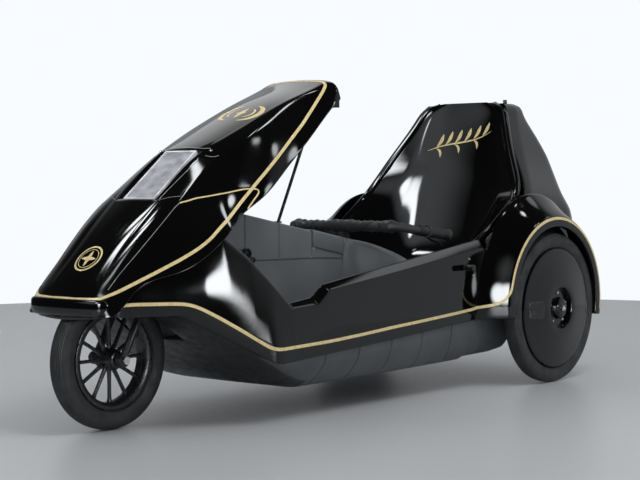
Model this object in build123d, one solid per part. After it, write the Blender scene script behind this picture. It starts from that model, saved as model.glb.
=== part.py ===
from build123d import *
import math
import os

# Three-wheeled recumbent electric runabout: one steered wheel under a long wedge nose,
# two rear wheels under faired arches, a moulded bucket seat and a boot behind it.
# Millimetres. +Z is up, the nose points along -Y and +X is the rider's left.
# The origin is on the ground, under the centre of the vehicle's box.

os.makedirs("parts", exist_ok=True)

# ---------------------------------------------------------------- driving dimensions
TRACK_HALF = 341.0            # centre line of a rear wheel
FRONT_AXLE_Y = -714.0
REAR_AXLE_Y = 590.0
FRONT_TYRE_R = 158.0
FRONT_TYRE_W = 50.0
REAR_TYRE_R = 203.0
REAR_TYRE_W = 44.0
FRONT_TYRE_H = 46.0           # height of a tyre's section, rim to tread
REAR_TYRE_H = 43.0
FRONT_RIM_R = FRONT_TYRE_R - FRONT_TYRE_H
REAR_RIM_R = REAR_TYRE_R - REAR_TYRE_H
RIM_SEAT = 0.2                # a tyre's bead clears its rim by this
WALL = 4.0                    # moulded polypropylene shells
SEAM = 0.3                    # gap between pieces that seat on each other
SWING_GAP = 2.0               # gap round the boot lid

HEAD_RAKE = 22.0              # steering axis, degrees back from upright
FORK_OFFSET = 25.0            # axle ahead of the steering axis
STEERER_R = 13.0
FIT = 0.05                    # radial clearance of running fits
FORK_LEG_X = 44.0
FORK_LEG_R = 9.0
CROWN_UP = 192.0              # crown above the axle, along the steering axis
HEAD_TUBE_LENGTH = 120.0
FRONT_AXLE_R = 5.0
NUT_R = 9.0
NUT_H = 7.0

SPINE_W = 25.0                # pressed steel box spine
SPINE_H = 76.0
SPINE_NOSE_H = 60.0           # depth of the spine at the head tube
SLOT_GAP = 3.0                # room round the spine where it passes a wall
HEAD_TUBE_WALL = 6.0
HEAD_GAP = 1.0                # running gap at each end of the head tube
HEAD_CAP_H = 9.0
FORK_BOSS_R = 15.0
CROWN_H = 14.0
BRACKET_R = 20.0              # crank bracket across the spine
BRACKET_HALF = 34.0
TUNNEL_HALF = 25.0
TUNNEL_WALL = 3.0
TUNNEL_TOP_SLOPE = -0.19
TUNNEL_FRONT_Y = -455.0
TUNNEL_REAR_Y = 150.0
TUNNEL_TOP_Z0 = 419.0         # top edge height at y = 0
COVER_FRONT_Y = -40.0         # raised cap over the tunnel's rear end
COVER_WALL = 3.0
COVER_SIDE = 45.0             # how far the cap reaches down

GROOVE_FROM_Y = -290.0        # stiffening grooves across the shell and the tunnel
GROOVE_PITCH = 125.0
GROOVE_COUNT = 6
GROOVE_DEPTH = 2.0
GROOVE_HALF = 3.2
GROOVES = [GROOVE_FROM_Y + GROOVE_PITCH * i for i in range(GROOVE_COUNT)]

CRANK_Y = -348.0
CRANK_Z = 376.0
CRANK_LENGTH = 140.0
CRANK_AXLE_R = 8.0
CRANK_ARM_X = 52.0
PEDAL_W = 90.0
PEDAL_AXLE_R = 5.0

BAR_Y = 120.0
BAR_Z = 434.0
BAR_HALF = 185.0
BAR_R = 11.0
GRIP_R = 16.0
STEM_R = 12.0

MOTOR_R = 46.0
REAR_AXLE_R = 8.0
BEARING_X = 235.0             # rear axle bearings, each side of the spine
BEARING_R = 20.0
FORK_AHEAD = 85.0             # cross bar of the rear fork, ahead of the axle
FORK_LIFT = 9.0               # fork bars above the axle
FORK_BAR = 28.0
BAY_HALF = 95.0               # wheel bay in the shell, room for the steered wheel
BAY_REAR_Y = -546.0
LID_HALF = 110.0
LID_LOW_Z = 452.0
LID_HIGH_Z = 734.0
HINGE_Y = 867.0               # boot lid's pins, in the rear wall under its opening
HINGE_Z = 448.0
HINGE_PIN_R = 1.5
HINGE_BARREL_R = 3.2
HINGE_X = (60.0, 90.0)
PEG_X = 293.5                 # face of the side panel at the peg
PEG_END_X = 322.0
PEG_R = 8.0
PEG_Y = 256.0
PEG_Z = 326.0
MAST = (120.0, 706.0)         # x, y of the peg for a flag mast on the seat back's top
MAST_R = 6.0
MAST_H = 20.0
POD_X = (98.0, 121.0)         # instrument box under the hood's rear edge
POD_Y = (-82.0, -43.0)
POD_Z = (736.0, 762.0)
POD_NECK_Y = -62.0            # the neck that reaches the hood ends ahead of its edge
POD_NECK_Z = 800.0


# ---------------------------------------------------------------- helpers
def save(node, solid):
    """Write one sub-part under its node name."""
    export_step(solid, f"parts/{node}.step")


def at_y(y, points):
    """A closed outline of (x, z) points in the plane of that y."""
    return Wire.make_polygon([Vector(x, y, z) for x, z in points], close=True)


def at_z(z, points):
    """A closed outline of (x, y) points in the plane of that z."""
    return Wire.make_polygon([Vector(x, y, z) for x, y in points], close=True)


def ruled(outlines):
    """Straight-lined skin through outlines that have equal point counts, as a solid."""
    return Solid.make_loft(outlines, ruled=True)


def mirrored(points):
    """Both halves of a closed outline, from the half with x > 0 listed top to bottom."""
    return [(-x, z) for x, z in reversed(points)] + [(x, z) for x, z in points]


def rod(start, end, radius):
    """A round bar between two points."""
    start, end = Vector(*start), Vector(*end)
    along = end - start
    plane = Plane(origin=start, z_dir=along.normalized())
    return extrude(plane * Circle(radius), amount=along.length)


def across(x0, x1, y, z, radius):
    """A round bar along X."""
    return rod((x0, y, z), (x1, y, z), radius)


def block(x, y, z):
    """A box from three (low, high) pairs."""
    size = [high - low for low, high in (x, y, z)]
    centre = [(high + low) / 2 for low, high in (x, y, z)]
    return Pos(*centre) * Box(*size)


def turned(profile, x, y, z):
    """Revolve (radius, offset along X) points about an axle at x, y, z."""
    face = make_face(Polyline(*[(r, o, 0) for r, o in profile], close=True))
    solid = revolve(face, Axis.Y)
    return Pos(x, y, z) * Rot(0, 0, -90) * solid


def both_sides(solid):
    return solid, mirror(solid, about=Plane.YZ)


# ---------------------------------------------------------------- nose hood
# y, crown z, upper edge x z, shoulder x z, cheek x z, skirt x z
HOOD = [
    (-850, 299, 20, 298, 44, 297, 46, 288, 50, 270),
    (-843, 308, 40, 305, 85, 300, 90, 290, 100, 268),
    (-831, 322, 56, 318, 110, 303, 118, 292, 132, 266),
    (-771, 386, 58, 382, 118, 363, 128, 352, 152, 319),
    (-673, 478, 62, 475, 126, 457, 136, 444, 187, 356),
    (-619, 523, 68, 520, 125, 503, 130, 496, 207, 384),
    (-567, 567, 70, 563, 120, 541, 142, 510, 225, 429),
    (-479, 630, 73, 624, 117, 600, 160, 533, 200, 482),
    (-420, 659, 80, 652, 118, 634, 168, 541, 191, 508),
    (-300, 714, 87, 707, 106, 699, 140, 650, 173, 584),
    (-200, 756, 88, 750, 96, 745, 128, 695, 158, 655),
    (-110, 788, 91, 783, 102, 779, 126, 745, 144, 722),
    (-57, 809, 90, 805, 112, 799, 127, 786, 136, 757),
]


def hood_outline(row, inset, y=None, drop=0.0):
    station, crown, ux, uz, sx, sz, cx, cz, kx, kz = row
    half = [(ux - inset, uz - inset), (sx - inset, sz - inset),
            (cx - inset, cz - inset), (kx - inset * 1.3, kz - drop)]
    points = [(-x, z) for x, z in reversed(half)] + [(0, crown - inset)] + half
    return at_y(station if y is None else y, points)


def make_hood():
    outer = ruled([hood_outline(row, 0) for row in HOOD])
    hollow = [hood_outline(HOOD[1], 2 * WALL, HOOD[1][0] + WALL, 40)]
    hollow += [hood_outline(HOOD[2], WALL, HOOD[2][0] + WALL, 40)]
    hollow += [hood_outline(row, WALL, None, 40) for row in HOOD[3:-1]]
    hollow += [hood_outline(HOOD[-1], WALL, HOOD[-1][0] + 0.5, 40)]
    shell = outer - ruled(hollow)
    return shell - lamp_prism(LAMP_FRAME, -60, 60)


def make_pod():
    """Small instrument box that hangs under the hood's rear edge on a neck fitted to it."""
    room = ruled([hood_outline(row, WALL + SEAM, None, 40) for row in HOOD[-3:]])
    neck = block(POD_X, (POD_Y[0], POD_NECK_Y), (POD_Z[0], POD_NECK_Z)) & room
    return block(POD_X, POD_Y, POD_Z) + neck


# headlamp: a trapezoid on the sloping front of the hood
LAMP_LOW = (61.0, -619.0, 515.0)      # lower corner of the lens: half width, y, z
LAMP_HIGH = (56.0, -479.0, 628.0)
LAMP_FRAME = 6.0                      # bezel round the lens
LAMP_DEPTH = 38.0
lamp_rise = Vector(0, LAMP_HIGH[1] - LAMP_LOW[1], LAMP_HIGH[2] - LAMP_LOW[2])
lamp_plane = Plane(
    origin=((0, (LAMP_HIGH[1] + LAMP_LOW[1]) / 2, (LAMP_HIGH[2] + LAMP_LOW[2]) / 2)),
    x_dir=(1, 0, 0),
    z_dir=Vector(1, 0, 0).cross(lamp_rise).normalized(),
)


def lamp_prism(grow, low, high):
    """The lens outline grown all round, from low to high along the lamp's own axis."""
    half = lamp_rise.length / 2 + grow
    outline = Polyline(
        (-LAMP_LOW[0] - grow, -half), (LAMP_LOW[0] + grow, -half),
        (LAMP_HIGH[0] + grow, half), (-LAMP_HIGH[0] - grow, half), close=True)
    plane = lamp_plane.offset(low)
    return extrude(plane * make_face(outline), amount=high - low)


def make_lamp():
    gap = SEAM
    bucket = lamp_prism(LAMP_FRAME - gap, -LAMP_DEPTH, 0) - lamp_prism(0, -LAMP_DEPTH + 3, 5)
    ledge = lamp_prism(0, -12, -8) - lamp_prism(-5, -12, -8)
    lens = lamp_prism(-gap, -8 + gap, -3)
    return bucket + ledge, lens


# ---------------------------------------------------------------- flanks and side panels
# y, sill z, sill x, top z, top x
FLANK = [
    (-820, 266, 127, 270.5, 127),
    (-771, 263, 149, 318.5, 147),
    (-673, 262, 193, 355.5, 182),
    (-619, 240, 218, 383.5, 202),
    (-567, 210, 240, 428.5, 219),
    (-457, 147, 285, 325, 266),
]
# y, sill z, sill x, outer top z, outer top x, rim z, rim x
SIDE = [
    (-457, 147, 285, 318, 268, 325, 258),
    (-406, 150, 286, 262, 283, 277, 262),
    (-319, 154, 287, 268, 286, 288, 260),
    (-281, 157, 288, 298, 287, 315, 262),
    (0, 172, 290, 327, 290, 351, 263),
    (244, 186, 292, 357, 293, 384, 264),
    (357, 192, 293, 371, 296, 398, 265),
]


def make_flank():
    sections = []
    for y, low_z, low_x, top_z, top_x in FLANK:
        sections.append(at_y(y, [(low_x, low_z), (top_x, top_z),
                                 (top_x - WALL, top_z), (low_x - WALL, low_z)]))
    return ruled(sections)


def make_side():
    sections = []
    for y, low_z, low_x, out_z, out_x, rim_z, rim_x in SIDE:
        sections.append(at_y(y, [
            (low_x, low_z), (out_x, out_z), (rim_x, rim_z),
            (rim_x, rim_z - 2 * WALL), (out_x - WALL, out_z - 2 * WALL), (low_x - WALL, low_z)]))
    return ruled(sections)


# ---------------------------------------------------------------- lower shell
# y, top z, top x, side z, side x, bilge z, bilge x, bottom z, bottom x
TUB = [
    (-652, 262, 192, 261, 190, 259, 186, 256, 182),
    (-457, 150, 280, 148, 278, 145, 250, 141, 215),
    (-345, 160, 282, 128, 276, 92, 238, 75, 200),
    (-306, 162, 282, 124, 276, 82, 232, 64, 200),
    (-40, 176, 284, 132, 279, 88, 252, 68, 222),
    (271, 192, 286, 142, 281, 98, 270, 76, 245),
    (340, 196, 287, 150, 282, 112, 272, 91, 247),
    (522, 205, 288, 170, 284, 142, 272, 127, 248),
    (545, 206, 288, 172, 284, 146, 272, 132, 248),
]


def tub_outline(row, inset, lift, y=None):
    station, tz, tx, sz, sx, bz, bx, z, x = row
    half = [(tx - inset, tz + lift), (sx - inset, sz), (bx - inset, bz + inset * 0.6),
            (x - inset * 0.5, z + inset)]
    return at_y(station if y is None else y, mirrored(half))


def row_at(table, y):
    """A row of a table between its own rows, on straight lines."""
    for low, high in zip(table, table[1:]):
        if low[0] <= y <= high[0]:
            share = (y - low[0]) / (high[0] - low[0])
            return tuple(a + (b - a) * share for a, b in zip(low, high))
    return table[-1]


def grooved_tub():
    """The shell's outer skin, folded in along each groove."""
    stations = [(row, 0) for row in TUB]
    for y in GROOVES:
        stations += [(row_at(TUB, y - GROOVE_HALF), 0), (row_at(TUB, y), GROOVE_DEPTH),
                     (row_at(TUB, y + GROOVE_HALF), 0)]
    stations.sort(key=lambda station: station[0][0])
    return ruled([tub_outline(row, depth, 0) for row, depth in stations])


def make_tub():
    outer = grooved_tub()
    hollow = [tub_outline(row, WALL, 30) for row in TUB[1:-1]]
    hollow = [tub_outline(TUB[0], WALL, 30, TUB[0][0] + 2 * WALL)] + hollow
    hollow += [tub_outline(TUB[-1], WALL, 30, TUB[-1][0] - WALL)]
    bay = block((-BAY_HALF, BAY_HALF), (TUB[0][0] - 50, BAY_REAR_Y), (200, 300))
    half, rear = SPINE_W / 2 + SLOT_GAP, TUB[-1][0]
    spine_slot = block((-half, half), (rear - 15, rear + 5), (180, 230))
    return outer - ruled(hollow) - bay - spine_slot


# half width and height: shoulder, top corner. The foot stands on the shell's floor.
BULKHEAD = [(175, 420), (90, 470)]
BULKHEAD_FOOT = 196.0


def make_bulkhead():
    """Upright wall behind the wheel, standing on the shell's sloping front."""
    front, rear = BAY_REAR_Y, BAY_REAR_Y + WALL
    foot = tub_floor(front) + SEAM + 3
    outline = mirrored(BULKHEAD[::-1] + [(BULKHEAD_FOOT, foot)])
    face = make_face(Polyline(*[(x, 0, z) for x, z in outline], close=True))
    wall = Pos(0, front, 0) * extrude(face, amount=WALL, dir=(0, 1, 0))
    half = SPINE_W / 2 + SLOT_GAP
    slot = block((-half, half), (front - 5, rear + 5), (355, 490))
    return wall - slot


# ---------------------------------------------------------------- centre tunnel and spine
def tunnel_top(y):
    return TUNNEL_TOP_Z0 + TUNNEL_TOP_SLOPE * y


def tub_floor(y):
    """Height of the shell floor's upper face on the centre line."""
    rows = [(row[0], row[7] + WALL) for row in TUB]
    for (y0, z0), (y1, z1) in zip(rows, rows[1:]):
        if y0 <= y <= y1:
            return z0 + (z1 - z0) * (y - y0) / (y1 - y0)
    return rows[-1][1]


def tunnel_side(inset, y0, y1, low=0.0):
    """Side outline of the tunnel as (y, z): flat feet on the floor, sloping top."""
    stops = [y0, -345, -306, -40, y1]
    under = [(y, tub_floor(y) + SEAM - low) for y in stops]
    over = [(y1, tunnel_top(y1) - 30 - inset), (y1 - 30, tunnel_top(y1 - 30) - inset),
            (y0, tunnel_top(y0) - inset)]
    return under + over


def side_prism(points, x0, x1):
    """Extrude a (y, z) outline along X."""
    face = make_face(Polyline(*[(0, y, z) for y, z in points], close=True))
    return Pos(x0, 0, 0) * extrude(face, amount=x1 - x0, dir=(1, 0, 0))


def tunnel_groove(y):
    """A staple-shaped cut over the tunnel's top and down both sides."""
    y0, y1 = y - GROOVE_HALF, y + GROOVE_HALF
    low = tub_floor(y) + COVER_SIDE
    band = side_prism([(y0, low), (y1, low), (y1, tunnel_top(y1) + 1), (y0, tunnel_top(y0) + 1)],
                      -TUNNEL_HALF - 1, TUNNEL_HALF + 1)
    core = side_prism([(y0, low), (y1, low), (y1, tunnel_top(y1) - GROOVE_DEPTH),
                       (y0, tunnel_top(y0) - GROOVE_DEPTH)],
                      -TUNNEL_HALF + GROOVE_DEPTH, TUNNEL_HALF - GROOVE_DEPTH)
    return band - core


def make_tunnel():
    outer = side_prism(tunnel_side(0, TUNNEL_FRONT_Y, TUNNEL_REAR_Y), -TUNNEL_HALF, TUNNEL_HALF)
    inner_half = TUNNEL_HALF - TUNNEL_WALL
    hollow = side_prism(
        tunnel_side(TUNNEL_WALL, TUNNEL_FRONT_Y - 10, TUNNEL_REAR_Y - TUNNEL_WALL, 20),
        -inner_half, inner_half)
    bore = across(-60, 60, CRANK_Y, CRANK_Z, BRACKET_R + 1)
    stem = rod((0, BAR_Y, 330), (0, BAR_Y, 440), STEM_R + 6)
    for y in GROOVES:
        if TUNNEL_FRONT_Y < y < COVER_FRONT_Y - GROOVE_HALF:
            outer -= tunnel_groove(y)
    return outer - hollow - bore - stem - spine_beam(2)


def make_tunnel_cover():
    half = TUNNEL_HALF + SEAM
    wide, lift, side = half + COVER_WALL, COVER_WALL, COVER_SIDE
    y0, y1 = COVER_FRONT_Y, TUNNEL_REAR_Y
    outer = side_prism([(y0, tunnel_top(y0) - side), (y1, tunnel_top(y1) - side),
                        (y1, tunnel_top(y1) + lift), (y0, tunnel_top(y0) + lift)], -wide, wide)
    inner = side_prism([(y0 - 1, tunnel_top(y0) - side - 5), (y1 + 1, tunnel_top(y1) - side - 5),
                        (y1 + 1, tunnel_top(y1) + SEAM), (y0 - 1, tunnel_top(y0) + SEAM)],
                       -half, half)
    stem = rod((0, BAR_Y, 330), (0, BAR_Y, 460), STEM_R + 6)
    return outer - inner - stem


rake = math.radians(HEAD_RAKE)
head_dir = Vector(0, math.sin(rake), math.cos(rake))
head_foot = Vector(0, FRONT_AXLE_Y + FORK_OFFSET * math.cos(rake),
                   FRONT_TYRE_R - FORK_OFFSET * math.sin(rake))
crown = head_foot + head_dir * CROWN_UP
TUBE_FROM = CROWN_UP + CROWN_H / 2 + HEAD_GAP + 1    # along the axis, from its foot
TUBE_TO = TUBE_FROM + HEAD_TUBE_LENGTH


def along_head(low, high, radius):
    """A bar on the steering axis, by distance above its foot."""
    start, end = head_foot + head_dir * low, head_foot + head_dir * high
    return rod(tuple(start), tuple(end), radius)


SPINE_TOP = [(-592, 415), (-455, 493), (-60, 418), (128, 300), (300, 280), (560, 262)]


def spine_beam(grow):
    """The box spine as a side outline, grown all round for slots."""
    upper = [(y, z + grow) for y, z in SPINE_TOP]
    heights = [SPINE_NOSE_H] + [SPINE_H] * (len(SPINE_TOP) - 1)
    lower = [(y, z - h - grow) for (y, z), h in zip(SPINE_TOP, heights)]
    half = SPINE_W / 2 + grow
    return side_prism(upper + lower[::-1], -half, half)


def make_spine():
    half = SPINE_W / 2
    beam = spine_beam(0)
    steerer_clear = along_head(CROWN_UP, TUBE_TO + 31, STEERER_R + FIT)
    tube = along_head(TUBE_FROM, TUBE_TO, STEERER_R + HEAD_TUBE_WALL)
    bracket = across(-BRACKET_HALF, BRACKET_HALF, CRANK_Y, CRANK_Z, BRACKET_R)
    hanger = block((-half, half), (CRANK_Y - 18, CRANK_Y + 18), (CRANK_Z, 430))
    cross_y = REAR_AXLE_Y - FORK_AHEAD
    level = (REAR_TYRE_R + FORK_LIFT, REAR_TYRE_R + FORK_LIFT + FORK_BAR)
    fork = block((-BEARING_X, BEARING_X), (cross_y, cross_y + 25), level)
    for side in (-1, 1):
        x = side * BEARING_X
        fork += block((x - 10, x + 10), (cross_y, REAR_AXLE_Y + 10), level)
        fork += across(x - 10, x + 10, REAR_AXLE_Y, REAR_TYRE_R, BEARING_R)
    axle = across(-300, 300, REAR_AXLE_Y, REAR_TYRE_R, REAR_AXLE_R + FIT)
    crank_hole = across(-60, 60, CRANK_Y, CRANK_Z, CRANK_AXLE_R + FIT)
    stem_post = rod((0, BAR_Y, 300), (0, BAR_Y, BAR_Z - 26), STEM_R + 3)
    stem_hole = rod((0, BAR_Y, 350), (0, BAR_Y, 470), 8 + FIT)
    return (beam + tube + bracket + hanger + fork + stem_post
            - steerer_clear - crank_hole - axle - stem_hole)


# ---------------------------------------------------------------- seat
# centre y z, half width of the pan, edge y z, half width at the edge
SEAT = [
    (154, 328, 120, 152, 340, 150),
    (300, 303, 130, 290, 345, 215),
    (430, 292, 135, 350, 385, 258),
    (535, 350, 140, 430, 430, 262),
    (580, 440, 140, 500, 476, 263),
    (612, 520, 135, 548, 514, 262),
    (645, 620, 118, 606, 622, 208),
    (680, 764, 104, 668, 770, 138),
]
SEAT_WALL = 6.0


def seat_outline(row):
    cy, cz, pan, ey, ez, edge = row
    inward = Vector(0, ey - cy, ez - cz).normalized() * SEAT_WALL
    back_c, back_e = (cy - inward.Y, cz - inward.Z), (ey - inward.Y, ez - inward.Z)
    points = [(-edge, ey, ez), (-pan, cy, cz), (pan, cy, cz), (edge, ey, ez),
              (edge, *back_e), (pan + 3, *back_c), (-pan - 3, *back_c), (-edge, *back_e)]
    return Wire.make_polygon([Vector(*p) for p in points], close=True)


def make_seat():
    return ruled([seat_outline(row) for row in SEAT])


# ---------------------------------------------------------------- rear body and lid
# z, front x, front y, rear x, rear y
REAR = [
    (230, 293, 357.3, 268, 870),
    (395, 292, 358, 258, 870),
    (512, 283, 566, 225, 868),
    (620, 218, 618, 185, 850),
    (770, 146, 678, 120, 782),
]
BOOT_FLOOR_Z = 330.0


def rear_outline(row, inset, forward=0.0, z=None):
    level, fx, fy, rx, ry = row
    fx, rx, fy, ry = fx - inset, rx - inset, fy - forward, ry - inset
    return at_z(level if z is None else z, [(-fx, fy), (fx, fy), (rx, ry), (-rx, ry)])


def make_rear():
    outer = ruled([rear_outline(row, 0) for row in REAR])
    hollow = [rear_outline(REAR[0], WALL, 30, REAR[0][0] - 1)]
    hollow += [rear_outline(row, WALL, 30) for row in REAR[1:-1]]
    hollow += [rear_outline(REAR[-1], WALL, 30, REAR[-1][0] - WALL)]
    shell = outer - ruled(hollow)
    floor = block((-252, 252), (560, 870), (BOOT_FLOOR_Z, BOOT_FLOOR_Z + WALL)) & outer
    shell = shell + floor
    opening = block((-LID_HALF - SWING_GAP, LID_HALF + SWING_GAP), (750, 900),
                    (LID_LOW_Z - SWING_GAP, LID_HIGH_Z + SWING_GAP))
    region = block((-LID_HALF, LID_HALF), (750, 900), (LID_LOW_Z, LID_HIGH_Z))
    body, lid = shell - opening, shell & region
    near, far = HINGE_X
    for side in (-1, 1):
        x0, x1 = sorted((side * near, side * far))
        body -= block((x0 - 0.5, x1 + 0.5), (750, 900), (HINGE_Z - 5, LID_LOW_Z))
        body += across(x0 - 4, x1 + 4, HINGE_Y, HINGE_Z, HINGE_PIN_R)
        lid += across(x0, x1, HINGE_Y, HINGE_Z, HINGE_BARREL_R)
        lid += block((x0, x1), (HINGE_Y - 1.8, HINGE_Y + 1.6), (HINGE_Z, LID_LOW_Z + 1))
        lid -= across(x0 - 1, x1 + 1, HINGE_Y, HINGE_Z, HINGE_PIN_R + FIT)
    return body, lid


# ---------------------------------------------------------------- wheel arches
ARCH_Y = REAR_AXLE_Y - 8
ARCH_Z = REAR_TYRE_R + 16
ARCH_X = 372.0
ARCH_MOUTH_R = REAR_TYRE_R + 3
ARCH_RIM = 27.0               # flat rim round the mouth
ARCH_EDGE_R = ARCH_MOUTH_R + ARCH_RIM
ARCH_ROOT_X = 293.0
# angle from straight back, how far the fairing meets the body side beyond the mouth
ARCH = [(-12, 29), (10, 32), (30, 44), (50, 66), (70, 82), (90, 86), (110, 78),
        (130, 62), (150, 44), (160, 32), (170, 22), (187, 20)]


def arch_outline(angle, root):
    turn = math.radians(angle)
    profile = [(ARCH_X, ARCH_MOUTH_R), (ARCH_X, ARCH_EDGE_R), (ARCH_ROOT_X, root),
               (ARCH_ROOT_X, root - WALL), (ARCH_X - WALL, ARCH_EDGE_R - WALL),
               (ARCH_X - WALL, ARCH_MOUTH_R)]
    points = [Vector(x, ARCH_Y + r * math.cos(turn), ARCH_Z + r * math.sin(turn))
              for x, r in profile]
    return Wire.make_polygon(points, close=True)


def make_arch():
    return ruled([arch_outline(angle, ARCH_MOUTH_R + root) for angle, root in ARCH])


# ---------------------------------------------------------------- wheels
def make_tyre(x, y, radius, width, bead):
    """A solid tyre: bead, two flaring side walls, two shoulders and the tread."""
    half = width / 2
    profile = [(bead, -half * 0.62), (radius - half * 0.75, -half), (radius, -half * 0.4),
               (radius, half * 0.4), (radius - half * 0.75, half), (bead, half * 0.62)]
    return turned(profile, x, y, radius)


def make_front_rim():
    rim_r = FRONT_RIM_R
    y, z = FRONT_AXLE_Y, FRONT_TYRE_R
    ring = turned([(rim_r, -15), (rim_r, 15), (rim_r - 5, 15), (rim_r - 9, 19), (rim_r - 14, 19),
                   (rim_r - 14, -19), (rim_r - 9, -19), (rim_r - 5, -15)], 0, y, z)
    hub = turned([(FRONT_AXLE_R + FIT, -30), (22, -30), (24, -22), (24, 22), (22, 30),
                  (FRONT_AXLE_R + FIT, 30)], 0, y, z)
    spokes = Part()
    count = 12
    inner, outer = 21.0, rim_r - 11
    for index in range(count):
        angle = 360 / count * index
        spoke = Pos(0, 0, (inner + outer) / 2) * Box(12, 7, outer - inner)
        spokes += Pos(0, y, z) * Rot(angle, 0, 0) * spoke
    return ring + spokes + hub


def make_rear_rim(x, bore, wheel_y=REAR_AXLE_Y):
    rim_r = REAR_RIM_R
    z = REAR_TYRE_R
    ring = turned([(rim_r, -14), (rim_r, 14), (rim_r - 9, 17), (rim_r - 14, 17),
                   (rim_r - 14, -17), (rim_r - 9, -17)], x, wheel_y, z)
    web = turned([(20, -5), (rim_r - 12, -5), (rim_r - 12, 1), (20, 1)], x, wheel_y, z)
    hub = turned([(bore, -24), (24, -24), (24, 20), (bore, 20)], x, wheel_y, z)
    return ring + web + hub


def make_cover(x):
    """Domed disc on the outer face, with a sunk ring round a proud hub cap."""
    profile = [(0, 20.5), (0, 28), (18, 28), (26, 22), (44, 22), (54, 28),
               (REAR_RIM_R - 50, 26), (REAR_RIM_R, 17.3), (REAR_RIM_R - 50, 22), (44, 20.5)]
    return turned(profile, x, REAR_AXLE_Y, REAR_TYRE_R)


# ---------------------------------------------------------------- fork, bar, crank
def make_fork():
    y, z = FRONT_AXLE_Y, FRONT_TYRE_R
    cap_low = TUBE_TO + HEAD_GAP
    cap_high = cap_low + HEAD_CAP_H
    steerer = along_head(CROWN_UP - 4, cap_high, STEERER_R)
    plate_plane = Plane(origin=tuple(head_foot + head_dir * (CROWN_UP + 1 - CROWN_H / 2)),
                        x_dir=(1, 0, 0), z_dir=tuple(head_dir))
    plate = extrude(plate_plane * Rectangle(2 * (FORK_LEG_X + FORK_LEG_R) + 4, 30), amount=CROWN_H)
    cap = along_head(cap_low, cap_high, STEERER_R + HEAD_TUBE_WALL)
    legs = Part()
    for side in (-1, 1):
        x = side * FORK_LEG_X
        top = head_foot + head_dir * CROWN_UP
        leg = rod((x, top.Y, top.Z), (x, y, z), FORK_LEG_R)
        boss = across(x - 8, x + 8, y, z, FORK_BOSS_R)
        legs += leg + boss
    hole = across(-70, 70, y, z, FRONT_AXLE_R + FIT)
    return steerer + plate + cap + legs - hole


def make_front_axle():
    y, z = FRONT_AXLE_Y, FRONT_TYRE_R
    nut = FORK_LEG_X + FORK_LEG_R
    shaft = across(-nut - NUT_H, nut + NUT_H, y, z, FRONT_AXLE_R)
    nuts = across(-nut - NUT_H, -nut, y, z, NUT_R) + across(nut, nut + NUT_H, y, z, NUT_R)
    return shaft + nuts


def make_bar():
    main = across(-BAR_HALF, BAR_HALF, BAR_Y, BAR_Z, BAR_R)
    stem = rod((0, BAR_Y, BAR_Z - 25), (0, BAR_Y, BAR_Z), STEM_R)
    pin = rod((0, BAR_Y, 360), (0, BAR_Y, BAR_Z - 25), 8)
    bar = main + stem + pin
    for side in (-1, 1):
        elbow = (side * BAR_HALF, BAR_Y, BAR_Z)
        grip_start = (side * (BAR_HALF + 3), BAR_Y + 50, BAR_Z - 9)
        bar += rod(elbow, grip_start, BAR_R) + Pos(*elbow) * Sphere(BAR_R)
        bar += rod(grip_start, grip_end(side), BAR_R - 2)
        bar += Pos(*grip_start) * Sphere(BAR_R)
    return bar


def grip_end(side):
    return (side * (BAR_HALF + 11), BAR_Y + 200, BAR_Z - 28)


def make_grip(side):
    start = Vector(side * (BAR_HALF + 6), BAR_Y + 100, BAR_Z - 15.4)
    end = Vector(*grip_end(side))
    way = (end - start).normalized()
    outer = rod(tuple(start), tuple(end + way * 6), GRIP_R)
    line = (Vector(*grip_end(side)) - Vector(side * (BAR_HALF + 3), BAR_Y + 50, BAR_Z - 9)).normalized()
    bore = rod(tuple(end - line * 140), tuple(end + line * 0.5), BAR_R - 2 + 0.1)
    return outer - bore


def make_lever(side):
    """Brake lever under the grip, on a clamp round the bar."""
    x = side * (BAR_HALF + 4)
    y, z = BAR_Y + 70, BAR_Z - 12
    clamp = rod((x, y, z), (x, y + 16, z - 2), 15)
    bore = rod((x, y - 30, z + 3), (x + side * 4, y + 40, z - 6), 11.5)
    blade = rod((x, y + 8, z - 19), (x + side * 8, y + 110, z - 48), 5)
    post = rod((x, y + 8, z - 10), (x, y + 8, z - 22), 7)
    return clamp + post + blade - bore


def make_crank():
    axle = across(-CRANK_ARM_X, CRANK_ARM_X, CRANK_Y, CRANK_Z, CRANK_AXLE_R)
    crank = axle
    for side in (-1, 1):
        x = side * CRANK_ARM_X
        end_y = CRANK_Y - side * CRANK_LENGTH
        arm = block((x - 6, x + 6), (min(CRANK_Y, end_y), max(CRANK_Y, end_y)),
                    (CRANK_Z - 11, CRANK_Z + 11))
        ends = across(x - 6, x + 6, CRANK_Y, CRANK_Z, 16) + across(x - 6, x + 6, end_y, CRANK_Z, 13)
        spindle = across(min(x, x + side * (PEDAL_W + 10)), max(x, x + side * (PEDAL_W + 10)),
                         end_y, CRANK_Z, PEDAL_AXLE_R)
        crank += arm + ends + spindle
    return crank


def make_pedal(side):
    y = CRANK_Y - side * CRANK_LENGTH
    x0 = side * (CRANK_ARM_X + 6 + 4)
    x1 = x0 + side * (PEDAL_W - 2)
    low, high = min(x0, x1), max(x0, x1)
    body = block((low, high), (y - 30, y + 30), (CRANK_Z - 11, CRANK_Z + 11))
    return body - across(low - 5, high + 5, y, CRANK_Z, PEDAL_AXLE_R + FIT)


# ---------------------------------------------------------------- running gear
def make_gearbox():
    y, z = REAR_AXLE_Y, REAR_TYRE_R
    case = block((30, 66), (y - 42, y + 162), (z - 35, z + 59))
    case -= across(20, 80, y, z, REAR_AXLE_R + SEAM)
    motor = across(66, 222, y + 110, z + 29, MOTOR_R)
    bracket = block((-SPINE_W / 2, 30), (y - 30, y - 15), (z - 3, z + 53))
    return case + motor + bracket


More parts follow.
